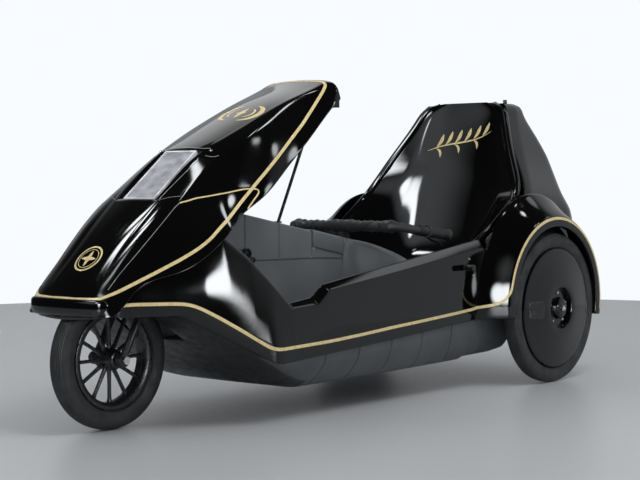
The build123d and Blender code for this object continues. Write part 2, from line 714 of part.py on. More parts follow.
def make_battery():
    return block((-95, 95), (640, 765), (BOOT_FLOOR_Z + WALL + SEAM, 500))


STAY_FOOT = (0.0, -142.0)      # x, y on the tunnel
STAY_BEND = (50.0, -87.0, 674.0)
STAY_TOP = (75.0, -66.0, 775.0)
STAY_R = 4.0


def make_stay():
    """Bent rod from the tunnel's top to the underside of the hood's rear edge."""
    foot_x, foot_y = STAY_FOOT
    foot_r = STAY_R * 2.5
    foot_z = tunnel_top(foot_y - foot_r) + SEAM
    foot = Pos(foot_x, foot_y, foot_z + 2) * Cylinder(foot_r, 4)
    shank = rod((foot_x, foot_y, foot_z), STAY_BEND, STAY_R)
    tip = rod(STAY_BEND, STAY_TOP, STAY_R)
    return foot + shank + Pos(*STAY_BEND) * Sphere(STAY_R) + tip


# ---------------------------------------------------------------- build and write
save("nose_hood", make_hood())
housing, lens = make_lamp()
save("headlamp_housing", housing)
save("headlamp_lens", lens)
for node, maker in (("front_flank", make_flank), ("side_panel", make_side),
                    ("wheel_arch", make_arch)):
    left, right = both_sides(maker())
    save(f"{node}_left", left)
    save(f"{node}_right", right)
save("lower_shell", make_tub())
save("front_bulkhead", make_bulkhead())
save("centre_tunnel", make_tunnel())
save("tunnel_cover", make_tunnel_cover())
save("spine_frame", make_spine())
save("seat_shell", make_seat())
rear, lid = make_rear()
save("rear_body", rear)
save("luggage_lid", lid)
save("battery", make_battery())
save("motor_gearbox", make_gearbox())
save("hood_stay", make_stay())
save("instrument_pod", make_pod())
save("front_fork", make_fork())
save("front_axle", make_front_axle())
save("front_rim", make_front_rim())
save("front_tyre", make_tyre(0, FRONT_AXLE_Y, FRONT_TYRE_R, FRONT_TYRE_W,
                             FRONT_RIM_R + RIM_SEAT))
save("handlebar", make_bar())
save("crankset", make_crank())
for side, name in ((1, "left"), (-1, "right")):
    save(f"grip_{name}", make_grip(side))
    save(f"brake_lever_{name}", make_lever(side))
    save(f"pedal_{name}", make_pedal(side))
    peg_ends = sorted((side * PEG_X, side * PEG_END_X))
    save(f"side_peg_{name}", across(*peg_ends, PEG_Y, PEG_Z, PEG_R))
    wheel_x = side * TRACK_HALF
    rim = make_rear_rim(TRACK_HALF, REAR_AXLE_R + FIT)
    cover = make_cover(TRACK_HALF)
    tyre = make_tyre(TRACK_HALF, REAR_AXLE_Y, REAR_TYRE_R, REAR_TYRE_W, REAR_RIM_R + RIM_SEAT)
    if side < 0:
        rim, cover, tyre = [mirror(piece, about=Plane.YZ) for piece in (rim, cover, tyre)]
    save(f"rear_rim_{name}", rim)
    save(f"wheel_cover_{name}", cover)
    save(f"rear_tyre_{name}", tyre)
save("rear_axle", across(-TRACK_HALF - 19, TRACK_HALF + 19, REAR_AXLE_Y, REAR_TYRE_R, REAR_AXLE_R))
save("tail_lamp", block((-40, 40), (870, 872), (300, 330)))
mast_foot = REAR[-1][0] + SEAM
save("mast_socket", rod((*MAST, mast_foot), (*MAST, mast_foot + MAST_H), MAST_R))
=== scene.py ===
# %% [markdown]
# # Dressing a recumbent electric tricycle
# The vehicle is a low three-wheeler: a long wedge nose over one steered wheel, an open
# foot well, a moulded bucket seat, and a boot between two faired rear wheels.
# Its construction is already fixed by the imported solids. This lesson gives every panel
# its real curves, edges and finish around that fixed frame, without moving any of it.

# %% Load the fixed frame
import math

import bmesh
import bpy
import numpy as np
from mathutils import Matrix, Vector
from mathutils.bvhtree import BVHTree


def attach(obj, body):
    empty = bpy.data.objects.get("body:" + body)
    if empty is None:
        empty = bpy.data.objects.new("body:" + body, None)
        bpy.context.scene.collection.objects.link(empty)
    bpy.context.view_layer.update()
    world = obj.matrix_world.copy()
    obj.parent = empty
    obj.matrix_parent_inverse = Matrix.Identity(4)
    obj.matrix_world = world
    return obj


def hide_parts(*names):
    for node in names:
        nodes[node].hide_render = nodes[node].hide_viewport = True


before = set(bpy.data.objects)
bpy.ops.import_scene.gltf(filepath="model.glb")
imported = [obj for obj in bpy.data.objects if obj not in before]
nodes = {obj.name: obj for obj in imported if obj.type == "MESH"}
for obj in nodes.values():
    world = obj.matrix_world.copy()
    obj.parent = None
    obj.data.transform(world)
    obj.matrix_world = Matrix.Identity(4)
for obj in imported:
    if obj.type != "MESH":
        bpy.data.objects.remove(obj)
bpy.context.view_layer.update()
scene = bpy.context.scene
MM = 0.001          # tables are in millimetres, Blender works in metres
SIDES = ((1, "left"), (-1, "right"))        # the sign of x on each side
print("nodes in the frame:", len(nodes))

# %% [markdown]
# ## Camera
# A long lens from a low stance flattens the wedge and keeps the wheels round. The camera
# stands on the rider's left front quarter, about four metres out, looking a little down.
# A matrix built from azimuth, pitch and roll is easier to check than Euler angles.

# %% Camera
CAMERA_AT = Vector((2.616, -3.076, 0.563))
AZIMUTH = math.radians(40.18)
PITCH = math.radians(2.31)
ROLL = math.radians(-0.33)
LENS = 87.97

forward = Vector((-math.sin(AZIMUTH) * math.cos(PITCH),
                  math.cos(AZIMUTH) * math.cos(PITCH), -math.sin(PITCH)))
level = Vector((math.cos(AZIMUTH), math.sin(AZIMUTH), 0))
upright = level.cross(forward)
image_x = level * math.cos(ROLL) + upright * math.sin(ROLL)
image_y = upright * math.cos(ROLL) - level * math.sin(ROLL)
turn = Matrix((image_x, image_y, -forward)).transposed().to_4x4()
lens = bpy.data.cameras.new("camera")
lens.lens = LENS
lens.sensor_width = 36
camera = bpy.data.objects.new("camera", lens)
camera.matrix_world = Matrix.Translation(CAMERA_AT) @ turn
scene.collection.objects.link(camera)
scene.camera = camera
scene.view_settings.view_transform = "Standard"
print("camera distance to the vehicle, m:", round(CAMERA_AT.length, 2))

# %% [markdown]
# ## Studio
# Black gloss paint is drawn by what it reflects, so the studio matters more than usual.
# The surround also holds a few soft oval glows that only gloss shows. They stand for long
# lamps, and each one lays a streak on one panel.
# A pale floor and a white surround give long calm reflections. The white lies low, all
# round, and falls off overhead, so that upright panels catch it and sloping ones go dark.
# The surround is made in the world's nodes, because it then also shows in gloss and glass.

# %% World and floor
FLOOR_RADIUS = 3.3
FLOOR_COLOUR = (0.50, 0.51, 0.52)
FILL_LEVEL = 0.62           # light that the surround throws on matt surfaces
GLOSS_LEVEL = 0.48          # the white surround as the paint reflects it
DIM_LEVEL = 0.025           # the studio away from the white surround
WHITE_LOW = (0.71, 0.55)    # upward part of a direction, where the white starts and is full
WHITE_BEHIND = (0.05, 0.45)     # the same for its backward part
WHITE_TINT = (0.94, 0.97, 1.0, 1)
GLOW_FULL, GLOW_ENDS = 0.1, 1.6     # squared distances, in half widths, over which it fades
# soft lights that gloss shows: direction, half widths across and up, level at the middle
GLOWS = [
    ("flank", (0.980, 0.075, 0.155), 0.085, 0.115, 26.0),
    ("nose", (-0.50, -0.16, 0.85), 0.06, 0.085, 20.0),
    ("brow", (-0.60, -0.05, 0.80), 0.04, 0.06, 16.0),
    ("temple", (-0.20, 0.04, 0.98), 0.035, 0.045, 16.0),
    ("nostril", (-0.42, -0.30, 0.86), 0.03, 0.05, 6.0),
    ("cheek", (0.30, 0.47, 0.83), 0.05, 0.05, 14.0),
    ("crease", (0.20, 0.355, 0.915), 0.05, 0.04, 12.0),
    ("skirt", (0.545, 0.49, 0.68), 0.04, 0.05, 8.0),
    ("fairing", (0.20, -0.95, 0.20), 0.13, 0.22, 24.0),
    ("rim", (0.16, 0.70, 0.70), 0.14, 0.07, 1.3),
    ("seat", (-0.11, -0.76, 0.64), 0.085, 0.15, 24.0),
    ("seat_haze", (-0.24, -0.76, 0.58), 0.42, 0.42, 1.0),
]


def link(tree, source, target):
    tree.links.new(source, target)


def feed(tree, value, socket):
    """Set a socket to a number, or link it to another socket."""
    if isinstance(value, (int, float)):
        socket.default_value = value
    else:
        link(tree, value, socket)


def math_node(tree, kind, a, b):
    node = tree.nodes.new("ShaderNodeMath")
    node.operation = kind
    feed(tree, a, node.inputs[0])
    feed(tree, b, node.inputs[1])
    return node.outputs[0]


def mix_node(tree, factor, a, b):
    node = tree.nodes.new("ShaderNodeMix")
    feed(tree, factor, node.inputs["Factor"])
    feed(tree, a, node.inputs[2])
    feed(tree, b, node.inputs[3])
    return node.outputs[0]


def fade(tree, value, dark_at, full_at, level=1.0, kind="SMOOTHSTEP"):
    """A soft step from 0 to a level between two values."""
    soft = tree.nodes.new("ShaderNodeMapRange")
    soft.interpolation_type = kind
    soft.inputs["From Min"].default_value = dark_at
    soft.inputs["From Max"].default_value = full_at
    soft.inputs["To Max"].default_value = level
    link(tree, value, soft.inputs["Value"])
    return soft.outputs[0]


def vector_dot(tree, vector, axis):
    node = tree.nodes.new("ShaderNodeVectorMath")
    node.operation = "DOT_PRODUCT"
    link(tree, vector, node.inputs[0])
    node.inputs[1].default_value = axis
    return node.outputs["Value"]


def add_glow(tree, vector, way, across, up, level):
    """A soft oval light at a direction, with its own half widths."""
    ahead = Vector(way).normalized()
    side = ahead.cross(Vector((0, 0, 1))).normalized()
    over = side.cross(ahead)
    a = math_node(tree, "DIVIDE", vector_dot(tree, vector, side), across)
    b = math_node(tree, "DIVIDE", vector_dot(tree, vector, over), up)
    far = math_node(tree, "ADD", math_node(tree, "MULTIPLY", a, a),
                    math_node(tree, "MULTIPLY", b, b))
    soft = fade(tree, far, GLOW_ENDS, GLOW_FULL, level, "SMOOTHERSTEP")
    same_side = math_node(tree, "GREATER_THAN", vector_dot(tree, vector, ahead), 0.0)
    return math_node(tree, "MULTIPLY", soft, same_side)


def make_world():
    world = bpy.data.worlds.new("studio")
    world.use_nodes = True
    tree = world.node_tree
    tree.nodes.clear()
    output = tree.nodes.new("ShaderNodeOutputWorld")
    coordinate = tree.nodes.new("ShaderNodeTexCoord")
    split = tree.nodes.new("ShaderNodeSeparateXYZ")
    link(tree, coordinate.outputs["Generated"], split.inputs[0])
    low = fade(tree, split.outputs["Z"], *WHITE_LOW)
    behind = fade(tree, split.outputs["Y"], *WHITE_BEHIND)
    white = math_node(tree, "MULTIPLY", low, behind)
    scaled = math_node(tree, "MULTIPLY", white, GLOSS_LEVEL - DIM_LEVEL)
    seen_in_gloss = math_node(tree, "ADD", scaled, DIM_LEVEL)
    for _, way, across, up, strength in GLOWS:
        glow = add_glow(tree, coordinate.outputs["Generated"], way, across, up, strength)
        seen_in_gloss = math_node(tree, "ADD", seen_in_gloss, glow)
    rays = tree.nodes.new("ShaderNodeLightPath")
    gloss = math_node(tree, "MAXIMUM", rays.outputs["Is Glossy Ray"],
                      rays.outputs["Is Transmission Ray"])
    lit = mix_node(tree, gloss, FILL_LEVEL, seen_in_gloss)
    seen = mix_node(tree, rays.outputs["Is Camera Ray"], lit, 1.0)
    background = tree.nodes.new("ShaderNodeBackground")
    background.inputs["Color"].default_value = WHITE_TINT
    link(tree, seen, background.inputs["Strength"])
    link(tree, background.outputs[0], output.inputs["Surface"])
    return world


scene.world = make_world()
print("surround ready, fill level", FILL_LEVEL)

# %% [markdown]
# ## Lamps
# Three soft boxes light the vehicle. A wide bank behind and above gives the hood's top its
# pale sheen, a box above the rider's left lights the foot well, and a front box lights the
# seat back and the nose. Only the bank shows in gloss: the bright streaks on the paint are
# the soft glows of the surround, whose place and shape are easier to set than a lamp's.

# %% Lamps
def soft_box(name, place, target, width, height, radiance):
    """An area lamp that shows at the given radiance in a mirror."""
    data = bpy.data.lights.new(name, "AREA")
    data.shape = "RECTANGLE"
    data.size, data.size_y = width, height
    data.energy = radiance * width * height * math.pi
    lamp = bpy.data.objects.new(name, data)
    way = Vector(target) - Vector(place)
    lamp.matrix_world = (Matrix.Translation(place)
                         @ way.to_track_quat("-Z", "Y").to_matrix().to_4x4())
    lamp.visible_camera = False
    scene.collection.objects.link(lamp)
    return lamp


# name, place, target, width, height, radiance, shown in gloss
LAMPS = [
    ("bank_above", (-2.6, 1.9, 3.0), (0, -0.2, 0.7), 3.0, 1.6, 0.7, True),
    ("box_well", (1.7, -0.5, 2.8), (0.1, -0.1, 0.4), 1.2, 1.2, 7.0, False),
    ("box_front", (-1.4, -2.6, 2.4), (0, 0.0, 0.5), 1.0, 1.2, 2.0, False),
]
for *row, shown in LAMPS:
    soft_box(*row).visible_glossy = shown

# %% [markdown]
# ## Finishes
# Every finish starts from the same shader and differs in colour, gloss and fine relief.
# Two helpers keep the cells short: one reads noise in the object's own metres, so that a
# grain has its true size on every piece, and one feeds a noise into a socket's range.

# %% Finish helpers
NOISE_LOW, NOISE_HIGH = 0.35, 0.65      # nearly all of a noise lies between these
PLASTIC_IOR = 1.5


def new_finish(name, colour, roughness, metallic=0.0):
    """A material whose constants sit on the shader's own sockets."""
    material = bpy.data.materials.new(name)
    material.use_nodes = True
    shader = material.node_tree.nodes["Principled BSDF"]
    shader.inputs["Base Color"].default_value = (*colour, 1)
    shader.inputs["Roughness"].default_value = roughness
    shader.inputs["IOR"].default_value = PLASTIC_IOR
    shader.inputs["Metallic"].default_value = metallic
    return material, material.node_tree, shader


def noise(tree, scale, detail=3.0, stretch=(1, 1, 1)):
    """Noise with scale in features per metre."""
    coordinate = tree.nodes.new("ShaderNodeTexCoord")
    mapping = tree.nodes.new("ShaderNodeMapping")
    mapping.inputs["Scale"].default_value = stretch
    link(tree, coordinate.outputs["Object"], mapping.inputs["Vector"])
    texture = tree.nodes.new("ShaderNodeTexNoise")
    texture.inputs["Scale"].default_value = scale
    texture.inputs["Detail"].default_value = detail
    link(tree, mapping.outputs[0], texture.inputs["Vector"])
    return texture.outputs["Fac"]


def spread(tree, value, low, high, target):
    """Map the middle of a noise onto low..high and feed a socket."""
    ramp = tree.nodes.new("ShaderNodeMapRange")
    ramp.inputs["From Min"].default_value = NOISE_LOW
    ramp.inputs["From Max"].default_value = NOISE_HIGH
    ramp.inputs["To Min"].default_value = low
    ramp.inputs["To Max"].default_value = high
    link(tree, value, ramp.inputs["Value"])
    link(tree, ramp.outputs[0], target)


def tint(tree, value, dark, light, target):
    """Blend two colours by a noise and feed a colour socket."""
    ramp = tree.nodes.new("ShaderNodeValToRGB")
    ramp.color_ramp.elements[0].position = NOISE_LOW
    ramp.color_ramp.elements[0].color = (*dark, 1)
    ramp.color_ramp.elements[1].position = NOISE_HIGH
    ramp.color_ramp.elements[1].color = (*light, 1)
    link(tree, value, ramp.inputs["Fac"])
    link(tree, ramp.outputs["Color"], target)


def relief(tree, shader, height, depth_mm, strength):
    bump = tree.nodes.new("ShaderNodeBump")
    bump.inputs["Strength"].default_value = strength
    bump.inputs["Distance"].default_value = depth_mm * MM
    link(tree, height, bump.inputs["Height"])
    link(tree, bump.outputs[0], shader.inputs["Normal"])


def grained(name, colour, rough, patches, haze, grain):
    """A finish from patches of colour, haze in the gloss and a grain in the relief.

    Each begins with its noise, as features per metre and detail. Patches go on with the
    dark and the light colour, haze with the lowest and highest roughness, and the grain
    with its depth in mm and its strength."""
    material, tree, shader = new_finish(name, colour, rough)
    tint(tree, noise(tree, *patches[:2]), *patches[2:], shader.inputs["Base Color"])
    spread(tree, noise(tree, *haze[:2]), *haze[2:], shader.inputs["Roughness"])
    relief(tree, shader, noise(tree, *grain[:2]), *grain[2:])
    return material


# %% [markdown]
# ### Gloss black paint
# The panels are moulded plastic, sprayed and polished. Real paint is never a flat mirror:
# it has a faint ripple a few millimetres across and hazy patches left by the cloth. Both
# are noise, one in the normal and one in the roughness, kept small enough to stay quiet.

# %% Gloss black paint
paint = grained("gloss_black_paint", (0.0015, 0.0015, 0.0016), 0.05,
                patches=(4, 3, (0.0012, 0.0012, 0.0013), (0.0022, 0.0022, 0.0023)),
                haze=(9, 5, 0.035, 0.085), grain=(55, 1, 0.05, 0.35))
print("paint:", paint.name)

# %% [markdown]
# ### Grey moulded plastic
# The lower shell and the tunnel are bare polypropylene with a leathery moulded grain. It is matt
# and pale at glancing angles. A fine noise gives the grain and a broad one the scuffed, slightly
# chalky patches of an old moulding. The foot well's mouldings take a lighter copy of the same
# plastic, which is painted light for the light that falls into the well.

# %% Grey moulded plastic
def make_plastic(name, low, high):
    return grained(name, low, 0.5, (7, 6, low, high), (16, 4, 0.42, 0.56), (900, 2, 0.12, 0.5))


plastic = make_plastic("grey_polypropylene", (0.062, 0.068, 0.073), (0.088, 0.095, 0.1))
# the lighter copy paints the light in the foot well onto the tunnel, its cap and the seat risers
lit_plastic = make_plastic("polypropylene_painted_lit", (0.125, 0.133, 0.14), (0.165, 0.175, 0.183))
print("plastics:", plastic.name, lit_plastic.name)

# %% [markdown]
# ### Gold line tape
# The lines are thin printed tape, flat gold with a slight sheen and a trace of wear. They
# are plain dielectric colour, because a metal would turn dark wherever the studio is dark.

# %% Gold tape
gold = grained("gold_tape", (0.74, 0.60, 0.30), 0.32,
               patches=(120, 4, (0.68, 0.54, 0.25), (0.80, 0.66, 0.35)),
               haze=(60, 3, 0.26, 0.42), grain=(700, 1, 0.02, 0.3))
print("gold:", gold.name)

# %% [markdown]
# ### Rubber, satin black, bare metal and the lamps
# The smaller finishes follow the same recipe. Rubber is dull and dusty, the castings and
# the bar are satin, the fasteners are bright, and the lamp cover is a milky ribbed plastic.

# %% Rubber and satin black
DARKER, LIGHTER = 0.75, 1.3      # a satin finish's patches beside its own colour


def make_satin(name, colour, low, high, grain=260, depth=0.03):
    darker = tuple(DARKER * c for c in colour)
    lighter = tuple(LIGHTER * c for c in colour)
    return grained(name, colour, low, (30, 4, darker, lighter), (45, 3, low, high),
                   (grain, 2, depth, 0.4))


rubber = grained("tyre_rubber", (0.03, 0.031, 0.032), 0.62,
                 patches=(22, 5, (0.013, 0.014, 0.015), (0.028, 0.029, 0.030)),
                 haze=(40, 3, 0.52, 0.72), grain=(1200, 2, 0.08, 0.5))
satin = make_satin("satin_black", (0.012, 0.012, 0.013), 0.22, 0.36)
casting = make_satin("cast_black", (0.016, 0.016, 0.017), 0.34, 0.5, 420, 0.06)
foam = make_satin("bar_foam", (0.030, 0.031, 0.032), 0.38, 0.6, 300, 0.25)
chassis = make_satin("chassis_black", (0.02, 0.02, 0.021), 0.38, 0.52)
grip_foam = make_satin("grip_rubber", (0.022, 0.022, 0.023), 0.55, 0.7, 800, 0.15)
case = make_satin("battery_case", (0.03, 0.03, 0.033), 0.4, 0.55, 500, 0.08)
print("dark finishes:", [m.name for m in (rubber, satin, casting, foam, chassis)])

# %% [markdown]
# Bare metal is the one finish without patches of colour: its noise is stretched along one
# direction, like the marks of turning. The lamp's cover lets a little light in under a
# clear coat, which looks deeper than a painted plate.

# %% Metal and lamps
def make_metal(name, colour, low, high):
    material, tree, shader = new_finish(name, colour, low, metallic=1.0)
    spread(tree, noise(tree, 90, 3, (1, 1, 6)), low, high, shader.inputs["Roughness"])
    relief(tree, shader, noise(tree, 600, 2, (1, 1, 8)), 0.01, 0.3)
    return material


def make_lens():
    """Milky cover, moulded with fine upright flutes and a cloudy inner face."""
    material, tree, shader = new_finish("lamp_cover", (0.55, 0.55, 0.60), 0.16)
    tint(tree, noise(tree, 38, 5), (0.36, 0.36, 0.42), (0.62, 0.62, 0.66),
         shader.inputs["Base Color"])
    shader.inputs["Transmission Weight"].default_value = 0.15
    shader.inputs["Coat Weight"].default_value = 0.4
    relief(tree, shader, noise(tree, 70, 4), 0.6, 0.5)
    return material


steel = make_metal("bright_steel", (0.62, 0.62, 0.60), 0.16, 0.3)
white_trim = make_satin("white_lamp_rim", (0.74, 0.74, 0.78), 0.3, 0.4)
lamp_cover = make_lens()
red = make_satin("red_lens", (0.35, 0.010, 0.008), 0.12, 0.2, 300, 0.1)
print("finishes:", len(bpy.data.materials))

# %% [markdown]
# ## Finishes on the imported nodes
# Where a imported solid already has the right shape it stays, and only its material slots
# change. One table of finish and nodes is easier to read than a line for every node.

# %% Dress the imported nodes
DRESS = {
    paint: ("nose_hood", "front_flank_left", "front_flank_right", "side_panel_left",
            "side_panel_right", "wheel_arch_left", "wheel_arch_right", "seat_shell",
            "rear_body", "luggage_lid", "instrument_pod"),
    plastic: ("lower_shell", "front_bulkhead", "centre_tunnel", "tunnel_cover"),
    chassis: ("spine_frame", "hood_stay", "rear_axle", "motor_gearbox", "mast_socket"),
    casting: ("front_fork", "front_rim", "rear_rim_left", "rear_rim_right"),
    satin: ("headlamp_housing", "handlebar", "crankset", "brake_lever_left",
            "brake_lever_right", "pedal_left", "pedal_right", "side_peg_left",
            "side_peg_right", "wheel_cover_left", "wheel_cover_right"),
    rubber: ("front_tyre", "rear_tyre_left", "rear_tyre_right"),
    grip_foam: ("grip_left", "grip_right"),
    steel: ("front_axle",),
    case: ("battery",),
    lamp_cover: ("headlamp_lens",),
    red: ("tail_lamp",),
}
for material, names in DRESS.items():
    for name in names:
        nodes[name].data.materials.clear()
        nodes[name].data.materials.append(material)
print("dressed:", sum(len(names) for names in DRESS.values()), "of", len(nodes))

# %% [markdown]
# ## From feature lines to smooth panels
# A moulded panel is best described by the lines that a pattern maker would draw along it:
# crown, shoulder, crease and hem. Each row of a table is one station along the vehicle and
# holds where those lines pass. A natural cubic curve joins the stations, so reflections
# run without kinks along the panel, and each corner across it is rounded by its own radius.

# %% Curves along a panel
def natural_cubic(knots, values, at):
    """A curve through (knots, values) with continuous bending, read at positions at."""
    count = len(knots)
    span = np.diff(knots)
    matrix = np.eye(count)
    right = np.zeros((count, values.shape[1]))
    for i in range(1, count - 1):
        matrix[i, i - 1:i + 2] = span[i - 1], 2 * (span[i - 1] + span[i]), span[i]
        right[i] = 6 * ((values[i + 1] - values[i]) / span[i]
                        - (values[i] - values[i - 1]) / span[i - 1])
    bend = np.linalg.solve(matrix, right)
    index = np.clip(np.searchsorted(knots, at, "right") - 1, 0, count - 2)
    h = span[index][:, None]
    a = ((knots[index + 1] - at) / span[index])[:, None]
    b = 1 - a
    return (a * values[index] + b * values[index + 1]
            + ((a**3 - a) * bend[index] + (b**3 - b) * bend[index + 1]) * h**2 / 6)


def stations(table, step):
    """Rows between the rows of a table, on cubic curves, with each given row kept."""
    rows = np.array(table, float)
    lengths = np.maximum(np.abs(np.diff(rows, axis=0)).mean(axis=1), 1e-6)
    knots = np.concatenate([[0], np.cumsum(lengths)])
    reach = np.abs(np.diff(rows, axis=0)).max(axis=1)
    at = []
    for low, high, run in zip(knots, knots[1:], reach):
        at += list(np.linspace(low, high, max(2, int(run / step) + 1), endpoint=False))
    return natural_cubic(knots, rows, np.array(at + [knots[-1]]))


def read_row(table, at):
    """The columns after a table's first, read on straight lines at a position."""
    rows = np.array(table, float)
    return [np.interp(at, rows[:, 0], rows[:, c]) for c in range(1, rows.shape[1])]


# %% [markdown]
# Each corner across a panel is a short parabola between its two edges. Real moulds are
# broken the same way, and it needs only a radius, where a bevel would also round the ends.

# %% Rounded corners across a panel
CORNER_POINTS = 7


def rounded(points, radii, count=CORNER_POINTS):
    """Turn each corner of a line into a short curve. A radius of 0 keeps the point."""
    points = [Vector(p) for p in points]
    line = []
    for i, (point, radius) in enumerate(zip(points, radii)):
        if radius == 0 or i in (0, len(points) - 1):
            line.append(point)
            continue
        back, ahead = points[i - 1] - point, points[i + 1] - point
        enter = point + back.normalized() * min(radius, 0.48 * back.length)
        leave = point + ahead.normalized() * min(radius, 0.48 * ahead.length)
        for t in np.linspace(0, 1, count):
            line.append(enter * (1 - t)**2 + point * 2 * t * (1 - t) + leave * t**2)
    return line


def turns(count):
    """Even angles once round."""
    return np.linspace(0, 2 * math.pi, count, endpoint=False)


def to_side(points, side):
    """Points of the left side, carried to the side with that sign of x."""
    return [Vector((side * x, y, z)) for x, y, z in points]


def run_along(points):
    """The distance run at each point of a line."""
    steps = [(b - a).length for a, b in zip(points, points[1:])]
    return np.concatenate([[0], np.cumsum(steps)])


def mirrored(half):
    """A whole section from its left half, which starts on the middle line."""
    return [Vector((-p.x, p.y, p.z)) for p in reversed(half[1:])] + half


def divided(line, index, count, swell=0.0):
    """Split the stretch after a point of a line into equal parts, swelling it to one side."""
    first, last = line[index], line[index + 1]
    way = (last - first).normalized()
    out = Vector((-way.z, 0, way.x))
    extra = [first.lerp(last, i / count) + out * (swell * math.sin(math.pi * i / count))
             for i in range(1, count)]
    return line[:index + 1] + extra + line[index + 1:]


# %% [markdown]
# ## Sheets
# A panel is a grid of quads through its stations. The wall thickness comes from Solidify and the
# fine broken edge from a narrow Bevel, and both are applied at once, so that the mesh holds
# exactly what shows. Edges sharper than a set angle stay crisp.

# %% Sheets of quads
def new_mesh(name, points, faces):
    mesh = bpy.data.meshes.new(name)
    mesh.from_pydata([tuple(Vector(p) * MM) for p in points], [], faces)
    mesh.update()
    return mesh


def sheet_faces(rows, columns, wrap=False, leave_out=None):
    faces = []
    for r in range(rows - 1):
        for c in range(columns if wrap else columns - 1):
            if leave_out and leave_out(r, c):
                continue
            a, b = r * columns + c, r * columns + (c + 1) % columns
            faces.append((a, b, b + columns, a + columns))
    return faces


def add_object(name, mesh, material):
    obj = bpy.data.objects.new(name, mesh)
    scene.collection.objects.link(obj)
    mesh.materials.append(material)
    return obj


def apply_modifiers(obj):
    graph = bpy.context.evaluated_depsgraph_get()
    graph.update()
    mesh = bpy.data.meshes.new_from_object(obj.evaluated_get(graph))
    old = obj.data
    obj.modifiers.clear()
    obj.data = mesh
    mesh.name = old.name
    bpy.data.meshes.remove(old)


sheets = {}                 # outer faces of the panels, kept to lay lines and marks on


def add_sheet(name, sections, material, inside, leave_out=None):
    """A panel's outer skin through its sections, facing away from an inner point."""
    flat = [p for section in sections for p in section]
    faces = sheet_faces(len(sections), len(sections[0]), leave_out=leave_out)
    sheets[name] = flat, faces
    obj = add_object(name, new_mesh(name, flat, faces), material)
    face_away(obj, inside)
    return obj


def face_away(obj, inside):
    """Turn the faces so that most look away from a point inside the vehicle, in mm."""
    centre = Vector(inside) * MM
    total = sum((p.center - centre).dot(p.normal) * p.area for p in obj.data.polygons)
    if total < 0:
        obj.data.flip_normals()


def shade(obj, sharp=40):
    obj.data.shade_smooth()
    obj.data.set_sharp_from_angle(angle=math.radians(sharp))


def make_wall(obj, wall, edge=0.8, sharp=40):
    """Give a sheet its wall inwards, break the new edges and apply it all."""
    solid = obj.modifiers.new("wall", "SOLIDIFY")
    solid.thickness = wall * MM
    solid.offset = -1
    solid.use_even_offset = True
    solid.thickness_clamp = 1.0
    if edge:
        bevel = obj.modifiers.new("edge", "BEVEL")
        bevel.width = edge * MM
        bevel.segments = 2
        bevel.limit_method = "ANGLE"
        bevel.angle_limit = math.radians(55)
    apply_modifiers(obj)
    shade(obj, sharp)


def place(obj, body, slot, *stands_for):
    """Tie a piece to its body and hide the solids that it stands for. Its slot is not used."""
    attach(obj, body)
    if stands_for:
        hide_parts(*stands_for)
    return obj


def mirror_copy(obj, name):
    """The same piece on the other side of the vehicle."""
    mesh = obj.data.copy()
    mesh.name = name
    mesh.transform(Matrix.Diagonal((-1, 1, 1, 1)))
    mesh.flip_normals()
    twin = bpy.data.objects.new(name, mesh)
    scene.collection.objects.link(twin)
    return twin


def place_pair(left, right_name, slot, left_for=(), right_for=()):
    """Tie a piece of the left side and its mirror copy to the body."""
    twin = mirror_copy(left, right_name)
    place(left, "body", slot, *left_for)
    place(twin, "body", slot, *right_for)


def report(obj):
    size = Vector(obj.dimensions) / MM
    print(f"{obj.name}: {len(obj.data.polygons)} faces,",
          f"{size.x:.0f} x {size.y:.0f} x {size.z:.0f} mm")


# %% [markdown]
# ## Nose hood
# The hood is one long moulding from the low front lip to the raised edge over the rider's
# knees. Five lines on each side describe it: crown, upper edge, shoulder crease, cheek
# crease and skirt. It could be cut from a subdivided box, but lines keep the two creases
# exactly where the reflections break.

# %% Hood lines
HOOD_HEM = 5.0              # skirt's hem turned inwards
WALL = 4.0
# y, crown z, upper x z, shoulder x z, cheek x z, skirt x z, upper, shoulder and cheek radius
HOOD = [
    (-850, 299, 20, 298, 44, 297, 46, 288, 50, 270, 5, 5, 5),
    (-843, 308, 40, 305, 85, 300, 90, 290, 100, 268, 6, 5, 5),
    (-831, 322, 56, 318, 110, 303, 118, 292, 132, 266, 8, 5, 5),
    (-771, 386, 58, 382, 118, 363, 128, 352, 152, 319, 14, 5, 5),
    (-673, 478, 62, 475, 126, 457, 136, 444, 187, 356, 14, 5, 5),
    (-619, 523, 68, 520, 125, 503, 130, 496, 207, 384, 8, 5, 5),
    (-567, 567, 70, 563, 120, 541, 142, 510, 225, 429, 8, 8, 6),
    (-479, 630, 73, 624, 117, 600, 160, 533, 200, 482, 8, 10, 8),
    (-420, 659, 80, 652, 118, 634, 168, 541, 191, 508, 9, 10, 10),
    (-300, 714, 87, 707, 106, 699, 140, 650, 173, 584, 12, 12, 30),
    (-200, 756, 88, 750, 96, 745, 128, 695, 158, 655, 14, 14, 30),
    (-110, 788, 91, 783, 102, 779, 126, 745, 144, 722, 16, 16, 26),
    (-57, 809, 90, 805, 112, 799, 127, 786, 136, 757, 14, 14, 22),
]
LAMP_FROM, LAMP_TO = -630, -479      # the lamp's opening along the hood
CROWN_PARTS, UPPER_PARTS, SHOULDER_PARTS, CHEEK_PARTS = 8, 8, 5, 8   # columns between lines
# y, how far the panel under the upper edge bulges
HOOD_SWELL = [(-850, 0), (-760, 2.5), (-690, 4.5), (-630, 3), (-560, 0)]


